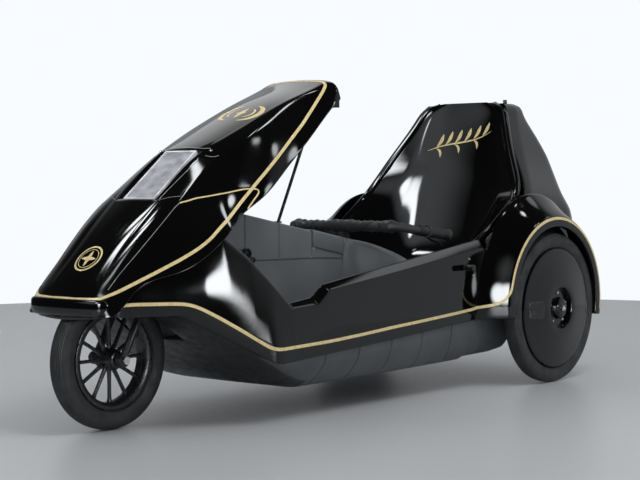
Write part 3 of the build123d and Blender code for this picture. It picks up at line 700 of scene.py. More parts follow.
def hood_half(row):
    """Half a section from crown to hem, as (x, z) pairs with their corner radii."""
    y, crown, ux, uz, sx, sz, cx, cz, kx, kz, ru, rs, rc = row
    inward = Vector((kx - 10, 0, kz + 2))
    line = [(0, y, crown), (ux, y, uz), (sx, y, sz), (cx, y, cz), (kx, y, kz),
            (kx - HOOD_HEM, y, kz - 2), inward + Vector((-HOOD_HEM, y, 4))]
    line = rounded(line, [0, ru, rs, rc, 3.0, 3.0, 0])
    swell = float(read_row(HOOD_SWELL, y)[0])
    for corner, count, height in ((3, CHEEK_PARTS, 0), (2, SHOULDER_PARTS, 0),
                                  (1, UPPER_PARTS, swell)):
        line = divided(line, corner * CORNER_POINTS, count, height)
    return line


def crown_row(half, row):
    """Replace the flat run from crown to upper edge with a gentle arch."""
    crown, ux, uz = row[1], half[1].x, half[1].z
    run = []
    for i in range(CROWN_PARTS + 1):
        x = ux * i / CROWN_PARTS
        run.append(Vector((x, row[0], crown - (crown - uz) * (i / CROWN_PARTS)**2)))
    return run[:-1] + half[1:]


def hood_section(row):
    return mirrored(crown_row(hood_half(row), row))


hood_rows = stations(HOOD, 9)
sections = [hood_section(row) for row in hood_rows]
print("hood sections:", len(sections), "of", len(sections[0]), "points")

# %% [markdown]
# The rear edge rolls over and down, which stiffens it and gives the dark band behind the
# gold line. The front edge ends in a separate lip that is swept round the nose.

# %% Hood skin
REAR_ROLL = ((2.0, 0.6), (4.4, 3.0), (5.2, 8.0), (4.6, 14.0))     # back, and inwards
ROLL_Z = 700                # height of the point that the edge rolls towards


def roll_rows(last):
    """Rows that turn the rear edge over and down."""
    centre = Vector((0, last[0].y, ROLL_Z))
    rows = []
    for back, drop in REAR_ROLL:
        row = []
        for p in last:
            way = (centre - p).normalized()
            row.append(p + Vector((0, back, 0)) + way * drop)
        rows.append(row)
    return rows


lamp_rows = [i for i, row in enumerate(hood_rows) if LAMP_FROM - 1 < row[0] < LAMP_TO + 1]
sections = sections + roll_rows(sections[-1])
first_lamp, last_lamp = lamp_rows[0], lamp_rows[-1]
middle = len(sections[0]) // 2
TOP_HALF = CROWN_PARTS + 1  # columns from the crown to inside the upper edge's curve


def in_lamp(row, column):
    return first_lamp <= row < last_lamp and abs(column + 0.5 - middle) < TOP_HALF


hood = add_sheet("hood_moulding", sections, paint, (0, -400, 300), in_lamp)
make_wall(hood, WALL - 0.5)
place(hood, "body", "gloss_black", "nose_hood")
report(hood)

# %% [markdown]
# ## Body sides
# From under the nose to the rear wheel each side is one black moulding. It swings outwards,
# turns a soft corner beside the knees, and then runs straight. Low down it folds inwards
# along a crease, and on top it carries a sloping rim that drops at the step and rises in a
# short ramp. The two lower lines are smooth curves and the rim is folded, so each set of
# lines is read in its own way at the same stations.

# %% Lines of the body side
# y, sill z x, crease z x
SIDE_LOW = [
    (-812, 264, 126, 278, 128), (-790, 262, 138, 289, 140), (-673, 262, 192, 290, 193),
    (-457, 139, 284, 175, 287), (0, 165, 287, 195, 290), (357, 190, 290, 220, 294),
]
# y, outer top z x, rim z x, how far the wall between top and crease swells
SIDE_TOP = [
    (-812, 281, 126, 283, 120, 0), (-771, 318.5, 146, 330, 138, 0),
    (-673, 355.5, 181, 366, 172, 3), (-619, 383.5, 201, 394, 192, 6),
    (-567, 428.5, 216, 440, 206, 6), (-510, 376, 244, 388, 234, 3),
    (-457, 318, 267, 325, 257, 1), (-408, 262, 281, 277, 262, 0.5),
    (-321, 267, 284, 286, 260, 0.5), (-283, 297, 284, 314, 262, 0.5),
    (0, 327, 286, 351, 263, 0.5), (244, 357, 288, 384, 264, 0.5),
    (357, 371, 289, 398, 265, 0.5),
]
SIDE_STEP = 7.0
LOW_KINK = 16.0         # half widths over which folds are eased, below and on the rim
TOP_KINK = 5.0
INNER_DROP = 70.0       # how far the side turns down inside the foot well


def eased(table, y, kink):
    """A folded line read at y, with its folds rounded over a short stretch."""
    rows = np.array(table, float)
    shifts = np.linspace(-kink, kink, 9)
    return [np.mean([np.interp(np.clip(y + s, rows[0, 0], rows[-1, 0]), rows[:, 0], rows[:, c])
                     for s in shifts]) for c in range(1, rows.shape[1])]


def side_section(y):
    sz, sx, cz, cx = eased(SIDE_LOW, y, LOW_KINK)
    tz, tx, rz, rx, swell = eased(SIDE_TOP, y, TOP_KINK)
    belly = ((cx + tx) / 2 + swell, y, (cz + tz) / 2)
    inner = max(rz - INNER_DROP, sz + 6)
    line = [(sx - 16, y, sz + 3), (sx, y, sz), (cx, y, cz), belly, (tx, y, tz), (rx, y, rz),
            (rx - 4, y, rz - (rz - inner) * 0.2), (rx - 6, y, inner)]
    return rounded(line, [0, 3, 5, 60, 7, 6, 4, 0])


side_front, side_rear = SIDE_TOP[0][0], SIDE_TOP[-1][0]
side_ys = np.unique(np.concatenate([np.arange(side_front, side_rear, SIDE_STEP), [side_rear],
                                    [row[0] for row in SIDE_TOP]]))
side_left = add_sheet("body_side_left", [side_section(y) for y in side_ys], paint,
                      (150, -100, 250))
make_wall(side_left, 3.0)
place_pair(side_left, "body_side_right", "gloss_black",
           ("front_flank_left", "side_panel_left"), ("front_flank_right", "side_panel_right"))
report(side_left)

# %% [markdown]
# ## Wheel arches
# The side sweeps outwards over each rear wheel and ends in a flat black ring. Turning one
# profile about the arch's centre, with a root radius that changes with the angle, gives the
# flare. The flat ring gets a rounded outer edge, which is where the gold line runs, and a
# lip turned in round the tyre.

# %% Arch skin
ARCH_Y, ARCH_Z = 582.0, 219.0
ARCH_X = 372.0
ARCH_EDGE_R = 233.0
ARCH_MOUTH_R = 206.0
ARCH_ROOT_X = 293.0
# angle from straight back, radius where the flare meets the body
ARCH = [(-12, 235), (10, 238), (30, 250), (50, 272), (70, 288), (90, 292), (110, 284),
        (130, 270), (145, 267), (155, 268), (165, 270), (187, 271)]
ARCH_PARTS = 80
ARCH_FRONT = (120.0, 160.0)     # angles between which the flare turns to a flatter front


def arch_section(angle, root):
    way = math.radians(angle)
    hollow = float(np.interp(angle, ARCH_FRONT, (0, 1)))
    flare = (ARCH_ROOT_X + 34, (root + ARCH_EDGE_R) / 2 + 2 - 4 * hollow)
    line = [(ARCH_ROOT_X - 10 + 6 * hollow, root + 5 + 3 * hollow),
            (ARCH_ROOT_X + 3 - 5 * hollow, root + 2 * (1 - hollow)), flare,
            (ARCH_X - 1, ARCH_EDGE_R), (ARCH_X, ARCH_MOUTH_R), (ARCH_X - 16, ARCH_MOUTH_R - 1)]
    points = [(x, ARCH_Y + r * math.cos(way), ARCH_Z + r * math.sin(way)) for x, r in line]
    return rounded(points, [0, 9, 26, 6, 3, 0])


arch_table = np.array(ARCH, float)
arch_angles = np.linspace(arch_table[0, 0], arch_table[-1, 0], ARCH_PARTS)
arch_roots = natural_cubic(arch_table[:, 0], arch_table[:, 1:], arch_angles)[:, 0]
arch_left = add_sheet("wheel_arch_shell_left",
                      [arch_section(a, r) for a, r in zip(arch_angles, arch_roots)], paint,
                      (330, ARCH_Y, ARCH_Z))
make_wall(arch_left, 3.0)
place_pair(arch_left, "wheel_arch_shell_right", "gloss_black",
           ("wheel_arch_left",), ("wheel_arch_right",))
report(arch_left)

# %% [markdown]
# ## Rear body and boot lid
# Behind the seat the body is a tapering box with soft upright corners and a rounded top,
# open to the front where the seat closes it. Each level is a rounded rectangle without its
# front side. The lid is cut from the same levels, so that it lies in the same surface.

# %% Rear body
# z, front x y, crease x y, rear x y, corner radius
REAR = [
    (230, 293, 357, 291, 420, 268, 870, 40), (395, 291, 358, 290, 420, 268, 870, 46),
    (470, 281, 491, 282, 530, 252, 869, 50),
    (512, 276, 566, 278, 591, 225, 868, 52), (620, 210, 618, 212, 662, 185, 850, 46),
    (700, 168, 651, 166, 707, 150, 817, 40), (745, 149, 667, 146, 729, 132, 797, 34),
    (763, 140, 677, 135, 730, 124, 788, 30), (770, 131, 680, 123, 731, 112, 774, 26),
]
REAR_STEP = 9.0
REAR_FOOT, REAR_BEND, REAR_TOP = 230, 763, 770      # heights between which levels are laid
CROWN_AT = (0, 730, 771)    # the middle of the closed top
CROWN_SHARES = (0.12, 0.3, 0.55, 0.8, 0.97)         # how far each ring has shrunk to it
BACK_FROM_Y = 740           # the lid's opening is cut behind this only
LID_HALF = 110.0
LID_LOW, LID_HIGH = 452.0, 734.0
LID_GAP = 2.0
SIDE_COLUMNS, BACK_COLUMNS = 26, 22


def rear_level(z):
    """The table's row at a height: smooth at the sides, straight along the front edge."""
    rows = np.array(REAR, float)
    smooth = natural_cubic(rows[:, 0], rows[:, 1:], np.array([z]))[0]
    straight = read_row(REAR, z)
    mixed = 0.5 * smooth + 0.5 * np.array(straight)
    mixed[1], mixed[3] = straight[1], straight[3]
    return mixed


def rear_outline(z):
    """Half of a level, from the left front edge round to the middle of the back."""
    fx, fy, kx, ky, rx, ry, corner = rear_level(z)
    points = [(fx, fy, z), (kx, ky, z), (rx, ry, z), (0, ry + 1.5, z)]
    line = rounded(points, [0, 6, corner, 0], 13)
    return [p if p.y < ry - 0.1 else Vector((p.x, ry + 1.5 * (1 - (p.x / rx)**2), z))
            for p in line]


def outline_at_x(line, x):
    """The point of an outline's rear part at a distance from the middle."""
    back = [p for p in line if p.y > 700]
    for a, b in zip(back, back[1:]):
        if b.x <= x <= a.x:
            return a.lerp(b, (a.x - x) / max(a.x - b.x, 1e-9))
    return back[-1]


def even_part(line, end, count):
    """Points evenly spread from a line's start to an end point on it."""
    kept = [p for p in line if p.x > end.x + 0.01] + [end]
    lengths = run_along(kept)
    at = np.linspace(0, lengths[-1], count)
    return [Vector([np.interp(t, lengths, [p[k] for p in kept]) for k in range(3)])
            for t in at]


def level_points(z):
    """One level round the body, with columns that follow the lid's upright edges."""
    line = rear_outline(z)
    edge = min(LID_HALF + LID_GAP, line[-2].x if len(line) > 1 else 0, rear_level(z)[4] * 0.99)
    half = even_part(line, outline_at_x(line, edge), SIDE_COLUMNS)
    half += [outline_at_x(line, edge * (1 - i / BACK_COLUMNS)) for i in range(1, BACK_COLUMNS)]
    half.append(Vector((0, line[-1].y, z)))
    return half + [Vector((-p.x, p.y, p.z)) for p in reversed(half[:-1])]


rear_zs = []
for low, high in ((REAR_FOOT, LID_LOW - LID_GAP), (LID_LOW - LID_GAP, LID_HIGH + LID_GAP),
                  (LID_HIGH + LID_GAP, REAR_BEND), (REAR_BEND, REAR_TOP)):
    count = max(4, int((high - low) / REAR_STEP))
    rear_zs += list(np.linspace(low, high, count, endpoint=False))
rear_zs.append(REAR_TOP)
levels = [level_points(z) for z in rear_zs]
top = levels[-1]
centre = Vector(CROWN_AT)
for share in CROWN_SHARES:
    levels.append([p.lerp(centre, share) + Vector((0, 0, 1.5 * math.sin(share * 1.5)))
                   for p in top])


def over_lid(row, column):
    corner = levels[row][column].lerp(levels[row + 1][column + 1], 0.5)
    return (corner.y > BACK_FROM_Y and abs(corner.x) < LID_HALF + LID_GAP
            and LID_LOW - LID_GAP < corner.z < LID_HIGH + LID_GAP)


rear = add_sheet("rear_moulding", levels, paint, (0, 700, 450), over_lid)
make_wall(rear, 3.5)
place(rear, "body", "gloss_black", "rear_body")
report(rear)

# %% [markdown]
# The boot lid opens on two low hinges. It is laid in the same curved levels, a little
# smaller than its opening, so that an even dark gap runs round it when it is shut.

# %% Boot lid
LID_COLUMNS, LID_ROWS = 28, 32


def lid_row(z):
    line = rear_outline(z)
    xs = np.linspace(LID_HALF, -LID_HALF, LID_COLUMNS)
    return [Vector((x, outline_at_x(line, abs(x)).y, z)) for x in xs]


lid_rows = [lid_row(z) for z in np.linspace(LID_LOW, LID_HIGH, LID_ROWS)]
lid = add_sheet("boot_lid_moulding", lid_rows, paint, (0, 700, 600))
make_wall(lid, 3.5)
print("boot lid, mm high:", LID_HIGH - LID_LOW, "wide:", 2 * LID_HALF)

# %% [markdown]
# ## Seat
# The seat is a deep shell, one curve from the front of the cushion up the back, with sides
# that wrap round the hips. Its edge rolls outwards over the body. Each row of the table is
# one slice square to that curve, and the slice is rounded into a bucket.

# %% Seat shell
# centre y z, half width of the flat, edge y z, half width at the edge
SEAT = [
    (154, 328, 120, 152, 340, 150), (300, 303, 130, 290, 345, 215),
    (430, 292, 135, 350, 385, 258), (535, 350, 140, 430, 430, 262),
    (580, 440, 140, 500, 476, 263), (612, 520, 135, 548, 514, 262),
    (645, 620, 118, 606, 622, 208), (668, 718, 108, 651, 724, 156),
    (678, 752, 96, 664, 757, 136), (684, 775, 60, 676, 773, 92),
]
SEAT_ROLL = 6.0
HOLLOW = 10.0           # how far the bucket's flat is really hollow
HOLLOW_TOP = (600.0, 745.0)     # heights between which it fades to a straight top edge
BAND = 20.0             # flat border between the bucket and the rolled edge


def seat_slice(row):
    cy, cz, flat_x, ey, ez, edge = row
    away = Vector((0, ey - cy, ez - cz))
    away = away.normalized() if away.length > 1e-6 else Vector((0, 0, 1))
    rim = Vector((edge, ey, ez))
    inner = rim + (Vector((flat_x, cy, cz)) - rim).normalized() * BAND
    crest = inner.lerp(rim, 0.25) + away * 3.5
    lip = rim + Vector((SEAT_ROLL, 0, 0)) - away * 3
    half = [(0, cy, cz), (flat_x, cy, cz), inner, crest, rim + away * 1.5, lip,
            lip - away * 12]
    half = rounded(half, [0, 75, 5, 6, 6, 4, 0], 9)
    half = divided(half, 0, 8)
    hollow = HOLLOW * float(np.interp(cz, HOLLOW_TOP, (1, 0)))
    for p in half:
        p += away * (hollow * min(1.0, p.x / flat_x)**2)
    return mirrored(half)


seat = add_sheet("seat_moulding", [seat_slice(row) for row in stations(SEAT, 12)], paint,
                 (0, 200, 700))
seat.data.flip_normals()
make_wall(seat, 4.0)
place(seat, "body", "gloss_black", "seat_shell")
report(seat)

# %% [markdown]
# ## Lower shell
# The grey bathtub below carries everything. It is moulded with shallow grooves at an even
# pitch, which stiffen it and follow its bilge round to the keel. The grooves are real
# folds in the mesh: a few extra stations on each side of a groove, pushed inwards.

# %% Lower shell
GROOVE_FROM, GROOVE_PITCH, GROOVE_COUNT = -290.0, 125.0, 6
GROOVE_DEPTH = 4.5
GROOVE_HALF = 3.6
KEEL_PARTS = 6              # columns from the keel to the bottom's corner
GROOVES = [GROOVE_FROM + GROOVE_PITCH * i for i in range(GROOVE_COUNT)]
# y, top z x, side z x, bilge z x, bottom z x, keel z
TUB = [
    (-652, 262, 188, 261, 187, 259, 184, 256, 180, 256),
    (-560, 205, 236, 202, 235, 198, 222, 194, 205, 194),
    (-457, 150, 280, 147, 278, 141, 252, 136, 216, 136),
    (-400, 155, 281, 137, 277, 113, 244, 100, 206, 100),
    (-345, 160, 282, 128, 276, 90, 238, 75, 200, 75),
    (-306, 162, 282, 124, 276, 81, 232, 65, 200, 64),
    (-40, 176, 283, 132, 279, 88, 252, 69, 222, 68),
    (271, 192, 285, 142, 281, 98, 270, 77, 245, 76),
    (287, 193, 285, 143, 281, 99, 270, 78, 246, 77),
    (299, 194, 285, 146, 282, 104, 270, 84, 247, 83),
    (430, 200, 287, 150, 283, 107, 270, 86, 247, 85),
    (486, 203, 287, 157, 283, 112, 269, 92, 246, 91),
    (522, 205, 287, 172, 281, 135, 258, 116, 232, 115),
    (545, 206, 287, 190, 272, 170, 240, 160, 205, 158),
]
TUB_STEP = 9.0
INSIDE_WALL = [(-652, 300, 160), (-457, 300, 250), (-408, 244, 268), (-321, 252, 268),
               (-283, 282, 266), (357, 366, 268), (545, 366, 268)]


def groove_depth(y):
    near = min(abs(y - g) for g in GROOVES)
    return GROOVE_DEPTH * max(0.0, 1 - near / GROOVE_HALF)


def tub_section(y):
    tz, tx, sz, sx, bz, bx, z, x, keel = read_row(TUB, y)
    wz, wx = read_row(INSIDE_WALL, y)
    d = groove_depth(y)
    half = [(0, y, keel + d), (x, y, z + d), (bx - d * 0.7, y, bz + d * 0.7),
            (sx - d, y, sz), (tx - d, y, tz), (tx - 7, y, tz + 16), (wx, y, wz)]
    half = rounded(half, [0, 40, 34, 26, 6, 12, 0])
    return mirrored(divided(half, 0, KEEL_PARTS))


def around_grooves(low, high, step):
    """Even stations, with closer ones where a groove is cut."""
    ys = list(np.arange(low, high, step)) + [high]
    ys = [y for y in ys if min(abs(y - g) for g in GROOVES) > GROOVE_HALF + 1]
    for g in GROOVES:
        ys += [g + GROOVE_HALF * s for s in (-1.3, -1, -0.45, 0, 0.45, 1, 1.3)
               if low < g + GROOVE_HALF * s < high]
    return sorted(ys)


tub_ys = around_grooves(TUB[0][0], TUB[-1][0], TUB_STEP)
sections = [tub_section(y) for y in tub_ys]
BAY_HALF, BAY_REAR = 95.0, -546.0


def in_bay(row, column):
    a, b = sections[row][column], sections[row + 1][column + 1]
    return max(a.y, b.y) < BAY_REAR and max(abs(a.x), abs(b.x)) < BAY_HALF


# The raked front under the nose faces down into shade, and painted shade gives it a separate
# darker finish: all of it before the first y, and only its low part before the second.
PAINTED_SHADE_ALL, PAINTED_SHADE_LOW = -480.0, -306.0
KEEL_COLUMNS = KEEL_PARTS + CORNER_POINTS + 3    # and on to the middle of the bilge


def in_painted_shade(row, column):
    from_keel = abs(column + 0.5 - len(sections[0]) // 2)
    y = sections[row + 1][column].y
    return y < PAINTED_SHADE_ALL or (y < PAINTED_SHADE_LOW and from_keel < KEEL_COLUMNS)


tub = add_sheet("lower_moulding", sections, plastic, (0, -50, 200), in_painted_shade)
make_wall(tub, 3.0, 0.6, 50)
place(tub, "body", "grey_shell", "lower_shell")
# the raked front in darker cast black is painted shade
painted_shade_piece = add_sheet("nose_painted_shade", sections, casting, (0, -50, 200),
                  lambda row, column: in_bay(row, column) or not in_painted_shade(row, column))
make_wall(painted_shade_piece, 3.0, 0.6, 50)
place(painted_shade_piece, "body", "grey_shell")
report(tub)

# %% [markdown]
# ## Centre tunnel
# The box spine runs between the rider's legs under a grey moulding. Its upper part is a
# capping with the same grooves as the shell, and a ledge marks where it sits on the foot,
# which flares out into the floor in one wide curve.

# %% Tunnel
TUNNEL_HALF = 25.0
TUNNEL_LEDGE = 2.2
SHALLOWER = 0.8             # the tunnel's grooves beside the shell's
TUNNEL_FRONT, TUNNEL_REAR, TUNNEL_STEP = -455.0, 150.0, 12
# y, top z, ledge z, floor z, half width of the flare
TUNNEL = [
    (-455, 505.4, 372, 141, 60), (-380, 491, 365, 100, 110), (-306, 477, 361, 70, 150),
    (-40, 426.6, 357, 74, 165), (60, 407.6, 353, 76, 165), (150, 390.5, 350, 78, 165),
]


def tunnel_section(y):
    top, ledge, floor, flare = read_row(TUNNEL, y)
    d = groove_depth(y) * SHALLOWER
    half = [(0, y, top - d), (TUNNEL_HALF - d, y, top - d), (TUNNEL_HALF - d, y, ledge + 4),
            (TUNNEL_HALF, y, ledge), (TUNNEL_HALF - TUNNEL_LEDGE, y, ledge - 3),
            (TUNNEL_HALF + 2, y, floor + 90), (flare * 0.45, y, floor + 22),
            (flare, y, floor + 6)]
    half = rounded(half, [0, 7, 2, 1.5, 2, 60, 60, 0])
    return mirrored(divided(half, 0, 2))


tunnel_ys = around_grooves(TUNNEL_FRONT, TUNNEL_REAR, TUNNEL_STEP)
tunnel = add_sheet("tunnel_moulding", [tunnel_section(y) for y in tunnel_ys], lit_plastic,
                   (0, -150, 200))
make_wall(tunnel, 2.5, 0.6, 50)
place(tunnel, "body", "grey_shell", "centre_tunnel")
report(tunnel)

# %% [markdown]
# The tunnel's rear end carries a raised cap with one more groove. Beside it a riser flares
# out to the seat's front edge and closes the foot well, as one more grey moulding.

# %% Tunnel cap and seat riser
CAP_HALF, CAP_UP, CAP_DOWN = 28.3, 3.2, 44.0
CAP_FRONT = -40


def cap_section(y):
    top = float(read_row(TUNNEL, y)[0]) + CAP_UP
    d = groove_depth(y) * SHALLOWER
    half = [(0, y, top - d), (CAP_HALF - d, y, top - d), (CAP_HALF - d, y, top - CAP_DOWN)]
    half = rounded(half, [0, 8, 0])
    return mirrored(divided(half, 0, 2))


cap_ys = around_grooves(CAP_FRONT, TUNNEL_REAR, TUNNEL_STEP)
cap = add_sheet("tunnel_cap", [cap_section(y) for y in cap_ys], lit_plastic, (0, 50, 350))
make_wall(cap, 2.5, 0.6, 50)
place(cap, "body", "grey_shell", "tunnel_cover")
# plan of the riser: x, y, top z, floor z
RISER = [(29, 88, 397, 100), (38, 104, 394, 100), (62, 121, 387, 98), (110, 139, 370, 96),
         (160, 147, 349, 96), (196, 150, 330, 100), (240, 152, 322, 120)]
rows = []
for x, y, top, floor in stations(RISER, 8):
    line = [(x, y + 26, top + 2), (x, y, top), (x - 4, y - 5, top - 40), (x - 8, y - 14, floor)]
    rows.append(rounded(line, [0, 9, 30, 0]))
riser = add_sheet("seat_riser_left", rows, lit_plastic, (60, 400, 200))
make_wall(riser, 2.5, 0.6, 50)
place_pair(riser, "seat_riser_right", "grey_shell")
report(riser)

# %% [markdown]
# ## Turned, lofted and joined parts
# Wheels, tyres and hubs are lathe work. One helper revolves a half profile about an axle
# that lies across the vehicle. A profile point is a radius and an offset along the axle.
# Bars, strips and plates are skins through outlines, and one more helper joins pieces.

# %% Lathe, loft and join
def lathe(name, profile, material, at, segments):
    """Revolve (radius, offset) points about the X direction at a place in mm."""
    x0, y0, z0 = at
    points, faces = [], []
    count = len(profile)
    for i in range(segments):
        a = 2 * math.pi * i / segments
        for r, offset in profile:
            points.append((x0 + offset, y0 + r * math.cos(a), z0 + r * math.sin(a)))
    for i in range(segments):
        j = (i + 1) % segments
        for k in range(count):
            m = (k + 1) % count
            faces.append((i * count + k, j * count + k, j * count + m, i * count + m))
    obj = add_object(name, new_mesh(name, points, faces), material)
    tidy_mesh(obj)
    return obj


def across(profile, side):
    """A lathe profile of the left side, turned over for the other."""
    return [(r, side * x) for r, x in profile]


def tidy_mesh(obj):
    """Merge points that meet, drop flat faces, point all faces outwards and shade."""
    work = bmesh.new()
    work.from_mesh(obj.data)
    bmesh.ops.remove_doubles(work, verts=work.verts, dist=1e-6)
    bmesh.ops.dissolve_degenerate(work, edges=work.edges, dist=1e-7)
    bmesh.ops.recalc_face_normals(work, faces=work.faces)
    work.to_mesh(obj.data)
    work.free()
    shade(obj)


def loft(name, outlines, material, close_ends=True):
    """A closed skin through outlines of equal point counts."""
    count = len(outlines[0])
    points = [p for outline in outlines for p in outline]
    faces = sheet_faces(len(outlines), count, wrap=True)
    if close_ends:
        faces.append(tuple(range(count)))
        last = (len(outlines) - 1) * count
        faces.append(tuple(last + i for i in reversed(range(count))))
    obj = add_object(name, new_mesh(name, points, faces), material)
    tidy_mesh(obj)
    return obj


def joined(name, parts):
    """Join meshes of one finish into a single piece."""
    work = bmesh.new()
    for part in parts:
        work.from_mesh(part.data)
    material = parts[0].data.materials[0]
    mesh = bpy.data.meshes.new(name)
    work.to_mesh(mesh)
    work.free()
    for part in parts:
        old = part.data
        bpy.data.objects.remove(part)
        bpy.data.meshes.remove(old)
    obj = add_object(name, mesh, material)
    shade(obj)
    return obj


# %% [markdown]
# ### Tyres
# The tyres are moped-like: a low round shoulder, a ribbed tread of narrow grooves that run
# round, and a raised ring on the side wall where the mould halves meet the bead. The ribs
# are part of the profile, so they cost nothing to turn.

# %% Tyres
TREAD_RIBS = 9


def tyre_profile(radius, width, bead):
    """Half of the side wall, a ribbed tread, and the other side wall."""
    half = width / 2
    wall = [(bead, 0.50), (bead + 3, 0.66), (bead + 5, 0.70), (bead + 6, 0.80),
            (bead + (radius - bead) * 0.35, 0.95), (bead + (radius - bead) * 0.55, 1.0),
            (bead + (radius - bead) * 0.72, 0.97), (bead + (radius - bead) * 0.84, 0.88)]
    left = [(r, -half * s) for r, s in wall]
    right = [(r, half * s) for r, s in reversed(wall)]
    tread = []
    reach = half * 0.80
    pitch = 2 * reach / TREAD_RIBS
    for i in range(TREAD_RIBS):
        low = -reach + pitch * i
        for share, depth in ((0.08, 1.6), (0.2, 0.0), (0.8, 0.0), (0.92, 1.6)):
            x = low + pitch * share
            crown = radius - (radius - bead) * 0.13 * (abs(x) / half)**2.4
            tread.append((crown - depth, x))
    return left + tread + right


FRONT_R, FRONT_WIDTH, FRONT_BEAD = 158.0, 50.0, 112.2
REAR_R, REAR_WIDTH, REAR_BEAD = 203.0, 44.0, 160.2
FRONT_AXLE = (0.0, -714.0, FRONT_R)
REAR_AXLE = (341.0, 590.0, REAR_R)
ROUND_PARTS = 128           # segments round a rim or a tyre
REAR_PARTS = 144


def rear_hub(side):
    """The middle of a rear wheel, on the rider's left for side 1."""
    return side * REAR_AXLE[0], REAR_AXLE[1], REAR_AXLE[2]


front_tyre = lathe("ribbed_tyre_front", tyre_profile(FRONT_R, FRONT_WIDTH, FRONT_BEAD),
                   rubber, FRONT_AXLE, ROUND_PARTS)
place(front_tyre, "front_wheel", "tyre_rubber", "front_tyre")
for side, hand in SIDES:
    tyre = lathe(f"ribbed_tyre_rear_{hand}", tyre_profile(REAR_R, REAR_WIDTH, REAR_BEAD),
                 rubber, rear_hub(side), REAR_PARTS)
    place(tyre, f"rear_wheel_{hand}", "tyre_rubber", f"rear_tyre_{hand}")
report(front_tyre)

# %% [markdown]
# ## Nose lip
# The hood's front edge is a thick rounded lip that wraps round the nose and ends in a soft
# nub on each side. A second, thinner lip sits behind and below it, where the wheel's
# housing begins. Both are one profile swept along the nose's outline seen from above.

# %% Swept lips
def sweep(path, profile):
    """Outlines of a profile (outwards, up) along a path of (x, y, z) points."""
    outlines = []
    points = [Vector(p) for p in path]
    for i, point in enumerate(points):
        way = points[min(i + 1, len(points) - 1)] - points[max(i - 1, 0)]
        out = Vector((way.y, -way.x, 0)).normalized()
        size = end_size(i, len(points))
        outlines.append([point + out * (o * size) + Vector((0, 0, u * size))
                         for o, u in profile])
    return outlines


def end_size(i, count, rows=4):
    """The size of an outline of a sweep, less near both ends, which become soft nubs."""
    near = min(i, count - 1 - i)
    return 1.0 if near >= rows else max(0.08, math.sqrt(1 - (1 - near / rows)**2))


LIP_STEP = 8
LIP_PATH = [(0, -850, 284), (40, -849.5, 284), (80, -845.5, 284), (102, -840, 284),
            (117, -832, 285), (125, -823, 287)]
LIP_PROFILE = rounded([(-9, 19, 0), (0, 18.5, 0), (5.5, 13, 0), (6, -8, 0), (1, -20, 0),
                       (-8, -21, 0), (-11, 0, 0), (-9, 19, 0)], [0, 3, 5, 8, 5, 3, 4, 0], 5)[:-1]
CHIN_PATH = [(0, -848, 262), (40, -846.5, 263), (75, -840, 265), (100, -831, 267),
             (108, -822, 268)]
CHIN_PROFILE = rounded([(-2.5, 6, 0), (2, 6, 0), (2.5, -3, 0), (0, -6.5, 0), (-2.5, -3, 0),
                        (-2.5, 6, 0)], [0, 1, 2, 2, 2, 0], 4)[:-1]


def swept(name, half, profile, material):
    """A profile swept along a path given as its left half, with soft ends."""
    both = [(-x, y, z) for x, y, z in reversed(half[1:])] + half
    outline = [p[:2] for p in profile]
    return loft(name, sweep(stations(both, LIP_STEP), outline), material)


nose_lip = swept("nose_lip", LIP_PATH, LIP_PROFILE, paint)
place(nose_lip, "body", "gloss_black")
chin = swept("wheel_housing_lip", CHIN_PATH, CHIN_PROFILE, satin)
place(chin, "body", "gloss_black")
report(nose_lip)

# %% [markdown]
# ### Front wheel
# The front wheel is one casting with twelve slim spokes. Each spoke is a tapered bar with
# softened edges that grows out of the hub and spreads where it meets the rim.

# %% Front wheel
SPOKES = 12
SQUARENESS = 0.55           # a spoke's section lies between a diamond and a square
# radius on the wheel, width and depth of the spoke there
SPOKE = [(18, 13, 9), (30, 9.5, 8), (60, 8, 7), (88, 8.5, 7.5), (99, 13, 10)]


def spoke(index):
    way = 2 * math.pi * index / SPOKES
    outlines = []
    for r, wide, deep in SPOKE:
        ring = []
        for k in range(12):
            t = 2 * math.pi * k / 12
            a = math.copysign(abs(math.cos(t))**SQUARENESS, math.cos(t)) * wide / 2
            b = math.copysign(abs(math.sin(t))**SQUARENESS, math.sin(t)) * deep / 2
            ring.append((FRONT_AXLE[0] + b,
                         FRONT_AXLE[1] + r * math.sin(way) + a * math.cos(way),
                         FRONT_AXLE[2] + r * math.cos(way) - a * math.sin(way)))
        outlines.append(ring)
    return loft(f"spoke_{index}", outlines, satin)


RIM = [(112, -15), (113.5, -17), (113.5, -19), (111, -20), (104, -19), (98, -15), (96.5, -8),
       (96.5, 8), (98, 15), (104, 19), (111, 20), (113.5, 19), (113.5, 17), (112, 15)]
HUB = [(5.2, -30), (17, -30), (20, -28), (20, -22), (24, -18), (24, 18), (20, 22), (20, 28),
       (17, 30), (5.2, 30)]
parts = [spoke(i) for i in range(SPOKES)]
parts += [lathe("rim_ring", RIM, satin, FRONT_AXLE, ROUND_PARTS),
          lathe("hub", HUB, satin, FRONT_AXLE, 48)]
front_wheel = joined("front_wheel_casting", parts)
place(front_wheel, "front_wheel", "wheel_black", "front_rim")
report(front_wheel)

# %% [markdown]
# ### Rear discs
# Smooth discs hide the rear spokes. Each is a shallow dome with a rolled edge, a dark sunk
# ring and a proud hub with its nut, and a small access hatch for the tyre valve.

